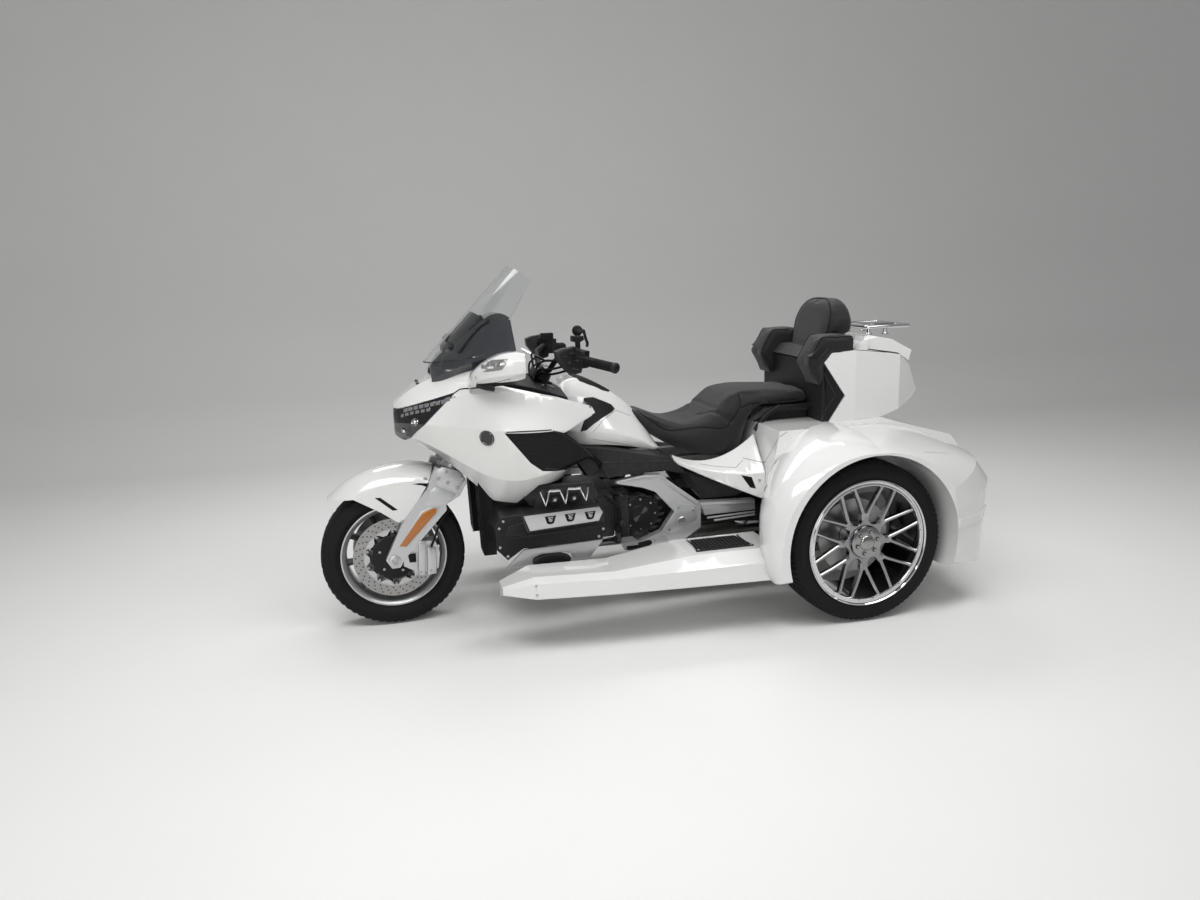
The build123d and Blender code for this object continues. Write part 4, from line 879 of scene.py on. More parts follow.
def rearRim(side, centre, outward, node, body):
    axis = (0, outward, 0)
    form = Form()
    form.turned([(102, 229.5), (103, 248), (106, 249.7), (110.5, 250), (110.8, 247.5), (107.5, 244.5)],
                centre, axis, 96, 0)
    form.turned([(107.5, 244.5), (99, 242.5), (99, 236.5)], centre, axis, 96, 1)
    form.turned([(99, 236.5), (105, 235.5), (106.5, 233), (106, 227), (102, 224.5), (96, 223)], centre, axis, 96, 0)
    form.turned([(96, 223), (60, 221.5), (-60, 221), (-104, 221.5), (-110, 246), (-110.6, 249.6), (-104, 249),
                 (-102, 229.5)], centre, axis, 96, 1)
    form.turned([(-102, 229.5), (0, 229.3), (102, 229.5)], centre, axis, 96, 1)
    form.done("rimBarrel" + side, body, ["brightChrome", "glossBlack"], (node,), angle=40)

    form = Form()
    for k in range(rimSpec["spokes"]):
        base = 360 / rimSpec["spokes"] * k
        spoke(form, centre, outward, [(34, base, 20, 82, 62), (62, base, 16, 83, 60), (86, base, 14.5, 84, 60),
                                      (104, base, 17, 85, 61), (114, base, 15, 86, 62)])
        for turn in (-1, 1):
            spoke(form, centre, outward, [(102, base + turn * 3.2, 7.5, 85, 62), (120, base + turn * 5.8, 7.2, 87, 64),
                                          (170, base + turn * 11.4, 6.2, 94, 72),
                                          (224.5, base + turn * 15, 6.6, 101, 82)])
    lobes = []
    for i in range(96):
        angle = 360 * i / 96
        wave = math.cos(math.radians(rimSpec["spokes"] * angle))
        lobes.append((84 + 9 * wave, angle))
    front = [wheelPoint(centre, outward, r - 3, a, 84) for r, a in lobes]
    edge = [wheelPoint(centre, outward, r, a, 80) for r, a in lobes]
    back = [wheelPoint(centre, outward, r, a, 60) for r, a in lobes]
    core = [wheelPoint(centre, outward, 30, a, 84) for _, a in lobes]
    form.loft([back, edge, front, core])
    form.turned([(60, 58), (20, 60), (-40, 60), (-60, 46), (-60, 18)], centre, axis, 40)
    form.done("rimSpokes" + side, body, ["gunmetal"], angle=32)

    form = Form()
    form.turned([(84, 66), (90, 65.5), (96, 62), (99, 56), (99, 31), (103, 29), (107, 24), (109, 14), (109.6, 0.01)],
                centre, axis, 72, 0)
    for k in range(rimSpec["nuts"]):
        place = wheelPoint(centre, outward, rimSpec["nutRadius"], 360 / rimSpec["nuts"] * k + 15, 0)
        form.turned([(94, 11.5), (100.5, 11), (100.5, 9.2), (99.2, 8.8)], place, axis, 20, 0)
        form.turned([(99.4, 8.8), (99.3, 0.01)], place, axis, 20, 1)
        form.bolt(place + Vector((0, outward * 0.0985, 0)), axis, 6.2, 7, False)
    form.done("rimCap" + side, body, ["darkChrome", "glossBlack"], angle=30)

    places = []
    for k in range(rimSpec["studs"]):
        base = 360 / rimSpec["studs"] * k + (3.75 if k % 2 else -3.75) + 11.25
        places.append((wheelPoint(centre, outward, rimSpec["studRadius"], base, 105), axis, 0))
    repeat("rimStuds" + side, boltItem(3.6, 4.5, False), places, body, "brightChrome")

    form = Form()
    form.turned([(-22, 150), (-10, 150), (-10, 62), (-22, 62)], centre, axis, 64, 0, closed=True)
    form.done("rearDisc" + side, body, ["discSteel"])


for side, (centre, outward, node, body) in rearRims.items():
    rearRim(side, centre, outward, node, body)
print("stage: rear rims")


frontWheelSpec = {
    # holeRows: radius in mm and turn in degrees of each circle of holes in the discs
    "spokes": 10, "bobbins": 10, "hubBolts": 5, "holes": 30, "holeRows": ((126, 0), (138, 4), (150, 8)),
}


def frontWheel():
    centre = tuple(frontAxle)
    pitch = 360 / frontWheelSpec["bobbins"]
    form = Form()
    lip = [(50, 191.5), (55, 205), (58, 207.5), (61, 208), (62, 206), (61.5, 202), (57, 198), (52, 189), (44, 185),
           (0, 183.5)]
    loop = lip + [(-a, r) for a, r in reversed(lip[:-1])]
    form.turned(loop, centre, (0, 1, 0), 96, 0)
    form.turned([(50, 191.5), (0, 191.2), (-50, 191.5)], centre, (0, 1, 0), 96, 0)
    form.done("frontRimRing", "front_wheel", ["castSilver"], ("front_rim",), angle=40)
    form = Form()
    for k in range(frontWheelSpec["spokes"]):
        base = 360 / frontWheelSpec["spokes"] * k + 8
        for outward in (-1, 1):
            spoke(form, centre, outward, [(30, base, 13, 26, 0), (90, base, 8.5, 20, 0), (150, base, 7.5, 18, 0),
                                          (184, base, 10, 24, 0)])
    form.turned([(71.4, 13), (71.4, 36), (60, 40), (24, 44), (0, 44), (-24, 44), (-60, 40), (-71.4, 36), (-71.4, 13)],
                centre, (0, 1, 0), 48)
    form.done("frontSpokes", "front_wheel", ["blackMetal"], angle=32)

    form = Form()
    studs = []
    holes = []
    for outward in (-1, 1):
        axis = (0, outward, 0)
        form.turned([(71.6, 159.6), (76.3, 160), (76.4, 117), (71.6, 117)], centre, axis, 96, 0, closed=True)
        front = []
        for i in range(160):
            angle = 360 * i / 160
            wave = abs(((angle / pitch) % 1) - 0.5) * 2
            radius = 117.5 - 17 * max(0, min(1, (wave - 0.25) * 2.2))
            front.append((radius, angle))
        rim = [wheelPoint(centre, outward, 119, a, 75.6) for _, a in front]
        rimBack = [wheelPoint(centre, outward, 119, a, 72.4) for _, a in front]
        tooth = [wheelPoint(centre, outward, r - 5, a, 75.6) for r, a in front]
        toothBack = [wheelPoint(centre, outward, r - 5, a, 72.4) for r, a in front]
        rings = [form.ring(r) for r in (rimBack, rim, tooth, toothBack)]
        for a, b in zip(rings, rings[1:] + rings[:1]):
            form.bridge(a, b, True, 1)
        form.turned([(71.5, 92), (75, 91), (76.5, 84), (77, 60), (79, 52), (80, 30), (86, 27), (87, 18)],
                    centre, axis, 60, 2)
        for k in range(frontWheelSpec["bobbins"]):
            base = pitch * k + 18
            spoke(form, centre, outward, [(84, base, 11, 76, 72), (100, base, 9, 76, 72), (114, base, 12, 76, 72)], 2)
            studs.append((wheelPoint(centre, outward, 108, base, 76), axis, 0))
        for k in range(frontWheelSpec["hubBolts"]):
            studs.append((wheelPoint(centre, outward, 62, 360 / frontWheelSpec["hubBolts"] * k + 10, 77.2), axis, 0))
        for k in range(frontWheelSpec["holes"]):
            for radius, shift in frontWheelSpec["holeRows"]:
                angle = 360 / frontWheelSpec["holes"] * k + shift
                holes.append((wheelPoint(centre, outward, radius, angle, 76.1), axis, 0))
    form.done("frontDiscPair", "front_wheel", ["discSteel", "boltSteel", "blackMetal"],
              ("front_discs",), angle=32)
    repeat("discBobbins", boltItem(5.5, 4, True), studs, "front_wheel", "boltSteel")
    hole = Form()
    hole.turned([(0, 3.1), (0.45, 3.0), (0.45, 0.01)], (0, 0, 0), (0, 0, 1), 10)
    repeat("discHoles", hole, holes, "front_wheel", "mattBlack")


frontWheel()
print("stage: front wheel")

# Fork legs, reflectors, calipers and front fender trim

# outline holds x behind the front axle and z; the prism grows outward on the left side from y = -out
def leftOutline(form, outline, out, depth, bevel):
    form.prism(outline, at(0, -out, 0), (1, 0, 0), (0, 0, 1), depth, bevel)


# A piece of plates on both sides; each row holds outline, out, depth and bevel
def sidePlates(name, body, finishName, rows, replaced=()):
    form = Form()
    for row in rows:
        leftOutline(form, *row)
    form.done(name, body, [finishName], replaced, twin=True)


# A piece of tubes on both sides; each row holds path, radius and sides
def sideTubes(name, body, finishName, rows):
    form = Form()
    for row in rows:
        form.tube(*row)
    form.done(name, body, [finishName], twin=True)


# A piece of seams on both sides; each row holds points and, if they aren't the usual ones, radius and lift
def sideSeams(name, finishName, tree, rows, toward=(0, 1, 0)):
    form = Form()
    for points, *sizes in rows:
        seam(form, points, tree, *sizes, toward=toward)
    form.done(name, "chassis", [finishName], twin=True)


# Bolts on both sides; each spot holds x behind the front axle, distance from the middle and z
def sideBolts(name, item, body, spots):
    places = [(at(x, sign * out, z), (0, sign, 0), 0) for x, out, z in spots for sign in (-1, 1)]
    repeat(name, item, places, body, "boltSteel")


def forkTrim():
    sidePlates("forkReflectors", "fork", "amberLens",
               [([(21, 343), (49, 339), (170, 462), (176, 480), (164, 485), (120, 472)], 128, 4.5, 2)])
    form = Form()
    leftOutline(form, [(14, 337), (51, 332), (178, 460), (185, 485), (159, 491), (115, 477)], 128, 2.2, 1)
    leftOutline(form, [(132, 497), (204, 493), (232, 506), (255, 536), (177, 572), (159, 559)], 128, 2.0, 1.2)
    leftOutline(form, [(182, 580), (258, 545), (294, 591), (275, 624), (206, 648), (186, 633)], 128, 1.4, 0.8)
    form.turned([(128, 24), (134, 23), (136, 19), (136, 0.01)], at(0, 0, 284), (0, -1, 0), 40, 0)
    form.done("forkPanels", "fork", ["castSilver"], twin=True)
    sideBolts("forkBolts", boltItem(7.5, 4.5, True), "fork",
              [(220, 129, 625), (189, 129, 601), (224, 129, 581), (260, 129, 558), (280, 129, 593)])
    form = Form()
    form.bolt(at(0, -136, 284), (0, -1, 0), 12, 8)
    form.done("axleNuts", "fork", ["boltSteel"], twin=True)


def caliperTrim():
    sidePlates("caliperBodies", "fork", "castSilver", [
        ([(94, 358), (123, 355), (112, 216), (88, 217)], 120, 16, 3),
        ([(127, 332), (161, 322), (158, 219), (121, 215)], 120, 20, 5),
        ([(35, 302), (54, 314), (88, 308), (85, 228), (32, 259)], 120, 7, 2)])
    sideBolts("caliperBolts", boltItem(5, 4, True), "fork",
              [(106, 135.5, 350), (98, 135.5, 231), (142, 139.5, 322), (136, 139.5, 234)])
    sidePlates("caliperWindows", "fork", "mattBlack",
               [([(50, 309), (82, 308), (82, 271), (56, 272)], 126.6, 0.9, 0.2)])
    hose = [at(143, -128, 327), at(158, -128, 358), at(178, -124, 410), at(207, -116, 449), at(231, -100, 464)]
    sideTubes("brakeHoses", "fork", "gripRubber", [(hose, 4.5, 10)])


def frontFenderTrim():
    sidePlates("fenderSlots", "fork", "mattBlack", [
        ([(-58, 541), (-36, 539), (27, 484), (7, 483)], 103.6, 0.9, 0.2),
        ([(88, 582), (105, 579), (126, 574), (142, 567), (149, 580), (116, 584)], 103.6, 0.9, 0.2)])
    sideBolts("fenderBolts", boltItem(8, 4, True), "fork", [(141, 96, 597), (40, 103.8, 435)])


forkTrim()
caliperTrim()
frontFenderTrim()
print("stage: fork, calipers and fender trim")

# Engine side

plugs = [(579, 463), (656, 465), (734, 466)]


def engineSide():
    sidePlates("valveStrip", "chassis", "castSilver",
               [([(477, 487), (770, 496), (784, 474), (768, 441), (499, 427)], 377.5, 2.2, 1.5)], ("engine_trims",))
    sidePlates("valveNotches", "chassis", "mattBlack",
               [([(x - 22, z + 15), (x + 22, z + 16), (x + 13, z - 12), (x + 6, z - 16), (x - 8, z - 16),
                  (x - 14, z - 12)], 379.8, 0.8, 0.2) for x, z in plugs])
    form = Form()
    for x, z in plugs:
        form.turned([(380, 8.5), (385, 8), (386, 5.5), (384.5, 5), (384.5, 0.01)], at(x, 0, z + 1), (0, -1, 0), 24)
        leftOutline(form, [(x - 12, z + 13), (x + 12, z + 13.5), (x + 9, z + 7), (x - 9, z + 7)], 380.3, 3, 0.8)
    form.done("plugCaps", "chassis", ["darkChrome"], twin=True)
    guard = [(476, 350), (789, 360), (733, 292), (663, 291), (658, 315), (629, 325), (537, 326), (510, 317),
             (507, 287), (405, 282)]
    sidePlates("engineGuards", "chassis", "castSilver", [(guard, 352, 9, 1.6)])
    form = Form()
    rows = []
    for inset, out in ((0, 346), (0, 364), (0.12, 370), (0.35, 372)):
        rows.append([at(582 + (1 - inset) * 76 * math.cos(t * math.pi / 14), -out,
                        297 + (1 - inset) * 27 * math.sin(t * math.pi / 14)) for t in range(28)])
    form.loft(rows)
    form.done("oilCovers", "chassis", ["satinBlack"], twin=True)
    cover = [(372, 452), (396, 487), (470, 491), (486, 428), (492, 418), (790, 434), (798, 402), (782, 364),
             (472, 357), (412, 318), (372, 362)]
    sidePlates("headCoverFaces", "chassis", "satinBlack", [
        (cover, 366, 3.2, 2.2),
        ([(408, 415), (419, 451), (476, 461), (477, 428), (483, 407)], 369.4, 2.2, 1.4),
        ([(420, 405), (780, 415), (776, 411), (420, 401)], 369, 1.6, 0.6)])
    spots = [(384, 446), (400, 472), (384, 372), (412, 334), (768, 376), (786, 404)]
    sideBolts("headCoverBolts", boltItem(5.5, 3.4, True), "chassis", [(x, 369.2, z) for x, z in spots])
    form = Form()
    crown = [(553, 562), (571, 503), (588, 562), (629, 561), (649, 504), (661, 564), (709, 562), (730, 508), (741, 565)]
    for (x0, z0), (x1, z1) in zip(crown[:-1], crown[1:]):
        flat = abs(z0 - z1) < 12
        half = 9 if flat else 3.6
        form.tube([at(x0, -330, z0), at((x0 + x1) / 2, -333, (z0 + z1) / 2), at(x1, -330, z1)], half, 10, flat=0.8)
    form.done("intakeBars", "chassis", ["brightChrome"], twin=True)
    form = Form()
    for x in (609, 685):
        form.turned([(285, 26), (318, 26), (322, 22), (322, 13), (326, 12), (327, 0.01)], at(x, 0, 526), (0, -1, 0), 28)
        form.turned([(327, 7), (332, 6.5), (332.5, 0.01)], at(x, 0, 526), (0, -1, 0), 6, 1)
        leftOutline(form, [(x - 24, 556), (x + 24, 556), (x + 19, 545), (x - 19, 545)], 300, 24, 3)
    leftOutline(form, [(500, 575), (770, 575), (790, 520), (770, 498), (520, 498), (490, 540)], 262, 30, 4)
    form.done("intakePorts", "chassis", ["blackMetal", "boltSteel"], twin=True)


engineSide()


def gearboxSide():
    form = Form()
    ribs = [(902, 482, 1040, 470), (902, 452, 1066, 446), (900, 422, 1085, 420), (899, 392, 1092, 394),
            (898, 360, 1080, 366), (897, 330, 1056, 340)]
    for x0, z0, x1, z1 in ribs:
        leftOutline(form, [(x0, z0), (x1, z1), (x1 - 6, z1 - 12), (x0, z0 - 12)], 188, 14, 3)
    form.turned([(180, 78), (204, 76), (210, 70), (210, 40), (214, 36), (214, 0.01)], at(985, 0, 400), (0, -1, 0), 44)
    form.turned([(180, 46), (206, 44), (209, 38), (209, 0.01)], at(930, 0, 340), (0, -1, 0), 32)
    leftOutline(form, [(892, 500), (930, 505), (934, 300), (892, 290)], 150, 72, 6)
    leftOutline(form, [(1030, 445), (1135, 430), (1150, 330), (1120, 290), (1030, 300)], 140, 12, 3)
    form.done("gearboxRibs", "chassis", ["blackMetal"], twin=True)
    turns = [math.radians(angle) for angle in range(0, 360, 45)]
    sideBolts("gearboxBolts", boltItem(4.6, 4, False), "chassis",
              [(985 + 62 * math.cos(turn), 209.5, 400 + 62 * math.sin(turn)) for turn in turns])
    sideTubes("engineHoses", "chassis", "gripRubber", [
        ([at(830, -300, 500), at(868, -290, 470), at(880, -270, 420), at(884, -262, 350)], 9, 12),
        ([at(846, -262, 520), at(880, -258, 505), at(930, -222, 500)], 6, 10),
        ([at(845, -286, 330), at(872, -280, 318), at(905, -226, 312)], 8, 10)])
    form = Form()
    for x, z, r in ((838, 498, 9), (866, 470, 7), (884, 505, 7), (868, 322, 8), (886, 392, 10)):
        form.turned([(240, r), (296, r), (298, r * 0.7), (298, 0.01)], at(x, 0, z), (0, -1, 0), 18)
    form.done("hoseClamps", "chassis", ["blackMetal"], twin=True)


gearboxSide()


def frameTrim():
    form = Form()
    leftOutline(form, [(1117, 443), (1215, 424), (1215, 365), (1112, 313), (1068, 329), (1120, 412)], 245.4, 2.6, 1.4)
    form.turned([(246, 18), (250, 17.5), (252, 15), (251, 11), (249.5, 10), (249.5, 0.01)], at(1150, 0, 366),
                (0, -1, 0), 36, 1)
    form.done("pivotPlates", "chassis", ["castSilver", "boltSteel"], twin=True)
    sidePlates("pedalBrackets", "chassis", "castSilver",
               [([(971, 297), (1052, 326), (1090, 296), (1080, 254), (995, 253), (951, 268)], 245.4, 7, 2)])
    sideBolts("frameBolts", boltItem(6.5, 4, True), "chassis",
              [(1029, 252, 294), (1038, 252, 268), (1199, 247.6, 407), (1094, 247.6, 334), (1135, 247.6, 425)])
    form = Form()
    form.prism([(-46, -12), (44, -12), (52, 2), (40, 14), (-40, 14), (-52, 2)], at(950, -300, 306), (1, 0, 0.15),
               (0, -1, 0), 16, 4)
    form.done("pedalPads", "chassis", ["gripRubber"], twin=True)
    ridge = [(862, 548), (992, 566), (1058, 560), (1222, 428), (1212, 424), (1052, 548), (990, 553)]
    sidePlates("armRidges", "chassis", "castSilver", [(ridge, 245.4, 1.6, 0.8)])


frameTrim()
print("stage: engine, gearbox and frame trim")

# Seat and backrest: padded forms, pressed out as cloth, with piping and seams laid on afterwards

seatStations = [
    # x behind the front axle, then y and z of bottom, side, shoulder, crown
    (978, 48, 806, 56, 812, 46, 824, 22, 828),
    (1020, 88, 758, 100, 770, 84, 806, 30, 812),
    (1090, 132, 694, 152, 712, 122, 770, 40, 776),
    (1150, 168, 660, 190, 690, 154, 745, 50, 752),
    (1215, 186, 636, 208, 672, 176, 736, 60, 742),
    (1300, 190, 614, 214, 656, 184, 756, 66, 764),
    (1352, 186, 608, 212, 672, 180, 790, 66, 800),
    (1400, 176, 614, 206, 706, 168, 830, 64, 840),
    (1440, 166, 664, 200, 748, 162, 845, 62, 856),
    (1475, 156, 758, 192, 788, 158, 852, 60, 863),
    (1530, 150, 802, 184, 816, 156, 856, 60, 865),
    (1640, 150, 802, 180, 816, 152, 850, 60, 860),
    (1742, 150, 802, 176, 816, 148, 846, 60, 856),
]


def seatForm():
    form = Form()
    rings = []
    for x, by, bz, sy, sz, hy, hz, cy, cz in seatStations:
        half = [(0, bz), (by * 0.8, bz), (by, bz + 3), (sy, sz), (hy, hz), (cy, cz), (0, cz + 1)]
        line = smoothLine([Vector((y, z, 0)) / 1000 for y, z in half], 12)
        even = [line[round(i * (len(line) - 1) / 24)] for i in range(25)]
        rings.append([Vector((frontAxle.x + x / 1000, p.x, p.y)) for p in even]
                     + [Vector((frontAxle.x + x / 1000, -p.x, p.y)) for p in reversed(even[1:-1])])
    columns = [smoothLine([ring[k] for ring in rings], 14) for k in range(len(rings[0]))]
    count = 56  # rings along the seat
    fine = [[column[round(i * (len(column) - 1) / (count - 1))] for column in columns] for i in range(count)]
    form.loft(fine)
    return form


# outline is x and z of the pad's side; it is swept between low and high in y
def padForm(outline, low, high):
    form = Form()
    middle, halfWidth = (low + high) / 2, (high - low) / 2
    form.loft([[at(x, middle + (-1 + 2 * k / 12) * halfWidth, z) for x, z in outline] for k in range(13)])
    return form


clothSpec = {
    # pressure swells the cover; fullHeight in m above the lowest point from which it may move its full cap;
    # underside is the share of the cap that faces looking down may move
    "quality": 4, "mass": 0.3, "tension": 20, "compression": 20, "shear": 8, "bending": 0.6, "pressure": 4.0,
    "frames": 20, "fullHeight": 0.05, "underside": 0.25,
}


# spec: voxel and cap (furthest move of the cover) in mm, soften passes, grooves as path, depth and width in mm
def cushion(name, form, spec, body, replaced=()):
    bmesh.ops.recalc_face_normals(form.bm, faces=form.bm.faces[:])
    mesh = bpy.data.meshes.new(name)
    form.bm.to_mesh(mesh)
    form.bm.free()
    obj = bpy.data.objects.new(name, mesh)
    bpy.context.scene.collection.objects.link(obj)
    cover = obj.modifiers.new("cover", "REMESH")
    cover.mode = "VOXEL"
    cover.voxel_size = spec["voxel"] / 1000
    soft = obj.modifiers.new("soft", "SMOOTH")
    soft.factor = 0.5
    soft.iterations = spec["soften"]
    bake(obj)
    swell(obj, spec)
    for path, depth, width in spec["grooves"]:
        groove(obj, path, depth, width)
    finer = obj.modifiers.new("finer", "SUBSURF")
    finer.levels = 1
    finer.render_levels = finer.levels
    bake(obj)
    obj.data.materials.clear()
    for finishName in ("seatVinyl", "seatGrip"):
        obj.data.materials.append(materials[finishName])
    for polygon in obj.data.polygons:
        polygon.use_smooth = True
        polygon.material_index = 1 if spec["grip"](polygon.center, polygon.normal) else 0
    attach(obj, body)
    if replaced:
        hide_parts(*replaced)


def swell(obj, spec):
    start = [v.co.copy() for v in obj.data.vertices]
    facing = [v.normal.copy() for v in obj.data.vertices]
    floor = min(p.z for p in start)
    cloth = obj.modifiers.new("cloth", "CLOTH")
    settings = cloth.settings
    settings.quality = clothSpec["quality"]
    settings.mass = clothSpec["mass"]
    settings.tension_stiffness = clothSpec["tension"]
    settings.compression_stiffness = clothSpec["compression"]
    settings.shear_stiffness = clothSpec["shear"]
    settings.bending_stiffness = clothSpec["bending"]
    settings.use_pressure = True
    settings.uniform_pressure_force = clothSpec["pressure"]
    settings.effector_weights.gravity = 0.0
    cloth.collision_settings.use_collision = False
    scene = bpy.context.scene
    scene.frame_start, scene.frame_end = 1, clothSpec["frames"]
    for number in range(1, clothSpec["frames"] + 1):
        scene.frame_set(number)
    graph = bpy.context.evaluated_depsgraph_get()
    swollen = bpy.data.meshes.new_from_object(obj.evaluated_get(graph))
    obj.modifiers.clear()
    obj.data = swollen
    scene.frame_set(1)
    cap = spec["cap"] / 1000
    for vert, before, normal in zip(obj.data.vertices, start, facing):
        move = vert.co - before
        share = clothSpec["underside"] if normal.z < -0.6 else 1.0
        limit = cap * min(1.0, max(0.0, (before.z - floor) / clothSpec["fullHeight"])) * share
        if move.length > limit:
            move = move.normalized() * limit if limit > 0 else Vector()
        vert.co = before + move


def groove(obj, path, depth, width):
    bm = bmesh.new()
    bm.from_mesh(obj.data)
    bm.normal_update()
    tree = BVHTree.FromBMesh(bm)
    line = [seated(p, tree, 0)[0] for p in smoothLine(path, 4)]
    spots = KDTree(len(line))
    for i, point in enumerate(line):
        spots.insert(point, i)
    spots.balance()
    for vert in bm.verts:
        distance = spots.find(vert.co)[2] * 1000
        if distance < width:
            vert.co -= vert.normal * depth / 1000 * (1 - (distance / width) ** 2) ** 2
    bm.to_mesh(obj.data)
    bm.free()


riderEdge = [at(1018, -62, 798), at(1069, -120, 773), at(1123, -165, 737), at(1227, -176, 735), at(1320, -178, 724),
             at(1368, -176, 729), at(1411, -172, 772), at(1438, -166, 815), at(1439, -150, 846), at(1439, -140, 856)]
pillionEdge = [at(1440, -176, 802), at(1475, -168, 812), at(1533, -164, 818), at(1616, -160, 821), at(1699, -158, 821),
               at(1773, -156, 820)]
creaseSeam = [at(1287, -60, 785), at(1315, -110, 780), at(1351, -140, 765), at(1381, -168, 751)]


def mirrored(path):
    return [Vector((p.x, -p.y, p.z)) for p in path]


def crossed(path):
    return path[::-1] + mirrored(path)


seatSpec = {"voxel": 7, "soften": 6, "cap": 7, "fill": 0.6,
            "grooves": [(riderEdge, 2.0, 9), (mirrored(riderEdge), 2.0, 9), (pillionEdge, 2.0, 9),
                        (mirrored(pillionEdge), 2.0, 9), (crossed(creaseSeam[::-1]), 6.0, 16)],
            "grip": lambda centre, normal: normal.z > 0.55 and abs(centre.y) < 0.15 and centre.x > -0.02}
cushion("seatCushion", seatForm(), seatSpec, "chassis", ("seat",))
seatSurface = surfaceOf("seatCushion")

padStations = [
    # height, half width, front and rear x
    (936, 104, 1810, 1878), (950, 120, 1802, 1884), (1000, 136, 1805, 1890), (1050, 152, 1818, 1904),
    (1080, 170, 1828, 1926), (1096, 188, 1834, 1944), (1120, 194, 1842, 1949), (1150, 188, 1850, 1950),
    (1185, 166, 1860, 1948), (1210, 138, 1870, 1942), (1228, 104, 1882, 1932), (1235, 76, 1892, 1924),
]


# Rings of rounded rectangles, one above the other
def stackForm():
    form = Form()
    rings = []
    for z, half, front, rear in padStations:
        ring = []
        for k in range(44):
            angle = 2 * math.pi * k / 44
            c, s = math.cos(angle), math.sin(angle)
            x = (front + rear) / 2 + (rear - front) / 2 * math.copysign(abs(c) ** 0.42, c)
            ring.append(at(x, half * math.copysign(abs(s) ** 0.42, s), z))
        rings.append(ring)
    form.loft(rings)
    return form


padEdge = [at(1800, -114, 955), at(1814, -130, 1040), at(1840, -156, 1110), at(1854, -146, 1165),
           at(1868, -112, 1206)]
padSpec = {"voxel": 6, "soften": 8, "cap": 5, "fill": 0.6,
           "grooves": [(padEdge, 2.0, 8), (mirrored(padEdge), 2.0, 8)],
           "grip": lambda centre, normal: normal.x < -0.6 and abs(centre.y) < 0.09 and centre.z < 1.17}
cushion("centrePad", stackForm(), padSpec, "chassis", ("backrest",))
wingPad = [(1684, 985), (1732, 892), (1748, 892), (1752, 962), (1790, 1008), (1890, 1020), (1892, 1080),
           (1870, 1088), (1744, 1088), (1714, 1042)]
wingSpec = {"voxel": 6, "soften": 7, "cap": 5, "fill": 0.6, "grooves": [],
            "grip": lambda centre, normal: normal.x < -0.55}
for side, sign in (("Left", -1), ("Right", 1)):
    cushion("wingPad" + side, padForm(wingPad, sign * 230 - 58, sign * 230 + 58), wingSpec, "chassis")
print("stage: seat and backrest cushions")


def seatTrim():
    form = Form()
    piping(form, riderEdge, seatSurface, 2.3, 0.8)
    piping(form, pillionEdge, seatSurface, 2.3, 0.8)
    form.done("seatPiping", "chassis", ["gripRubber"], twin=True)
    pad = surfaceOf("centrePad")
    form = Form()
    front = [at(1802, -114, 950), at(1814, -130, 1040), at(1840, -156, 1110), at(1854, -146, 1165),
             at(1868, -112, 1206), at(1884, -60, 1226), at(1888, 0, 1230)]
    piping(form, front, pad, 2.2, 0.8)
    wing = surfaceOf("wingPadLeft")
    piping(form, [at(1690, -284, 985), at(1716, -284, 1040), at(1746, -284, 1084), at(1820, -284, 1086),
                  at(1884, -284, 1084)], wing, 2.2, 0.8)
    piping(form, [at(1690, -178, 985), at(1716, -178, 1040), at(1746, -178, 1084), at(1820, -178, 1086)],
           wing, 2.2, 0.8)
    form.done("padPiping", "chassis", ["gripRubber"], twin=True)
    form = Form()
    rail = [at(1498, -186, 706), at(1514, -190, 730), at(1545, -192, 766), at(1589, -192, 791), at(1651, -190, 794),
            at(1758, -188, 796)]
    form.tube(smoothLine(rail, 12), 10.5, 14)
    form.ball(at(1600, -194, 797), (13, 9, 10), 14, 10)
    for i in range(4):
        form.tube([at(1560 + 50 * i, -186, 790), at(1560 + 50 * i, -150, 788)], 6, 8)
    form.done("grabTubes", "chassis", ["satinBlack"], twin=True)
    form = Form()
    form.prism([(1750, 985), (1786, 1022), (1893, 1029), (1893, 1033), (1782, 1027), (1745, 988)], at(0, 284, 0),
               (1, 0, 0), (0, 0, 1), 568, 1)
    form.done("trunkFrontTrim", "chassis", ["satinBlack"])
    speakers = Form()
    speakers.prism([(1691, 1011), (1740, 1056), (1777, 1047), (1738, 992)], at(0, -262, 0),
                   (1, 0, 0), (0, 0, 1), 30, 5)
    speakers.ball(at(1802, -182, 1067), (12, 10, 12), 16, 10)
    speakers.done("speakerBoxes", "chassis", ["satinBlack"], twin=True)
    ribs = Form()
    low, high = at(1694, -293, 1010), at(1741, -293, 1052)
    shift = (at(1722, -293, 1001) - low) / 3
    for i in range(4):
        ribs.tube([low + shift * i, high + shift * i], 3, 8)
    ribs.done("speakerRibs", "chassis", ["glossBlack"], twin=True)


seatTrim()
print("stage: seat trim")

# Front end: lamps, mirrors, screen rails and fairing trim

lampSurface = surfaceOf("headlights")
leftSkin = surfaceOf("fairing_left", "tank_cover", "front_cowl", "side_covers", "vent_panels")
mirrorSurface = surfaceOf("mirrors")


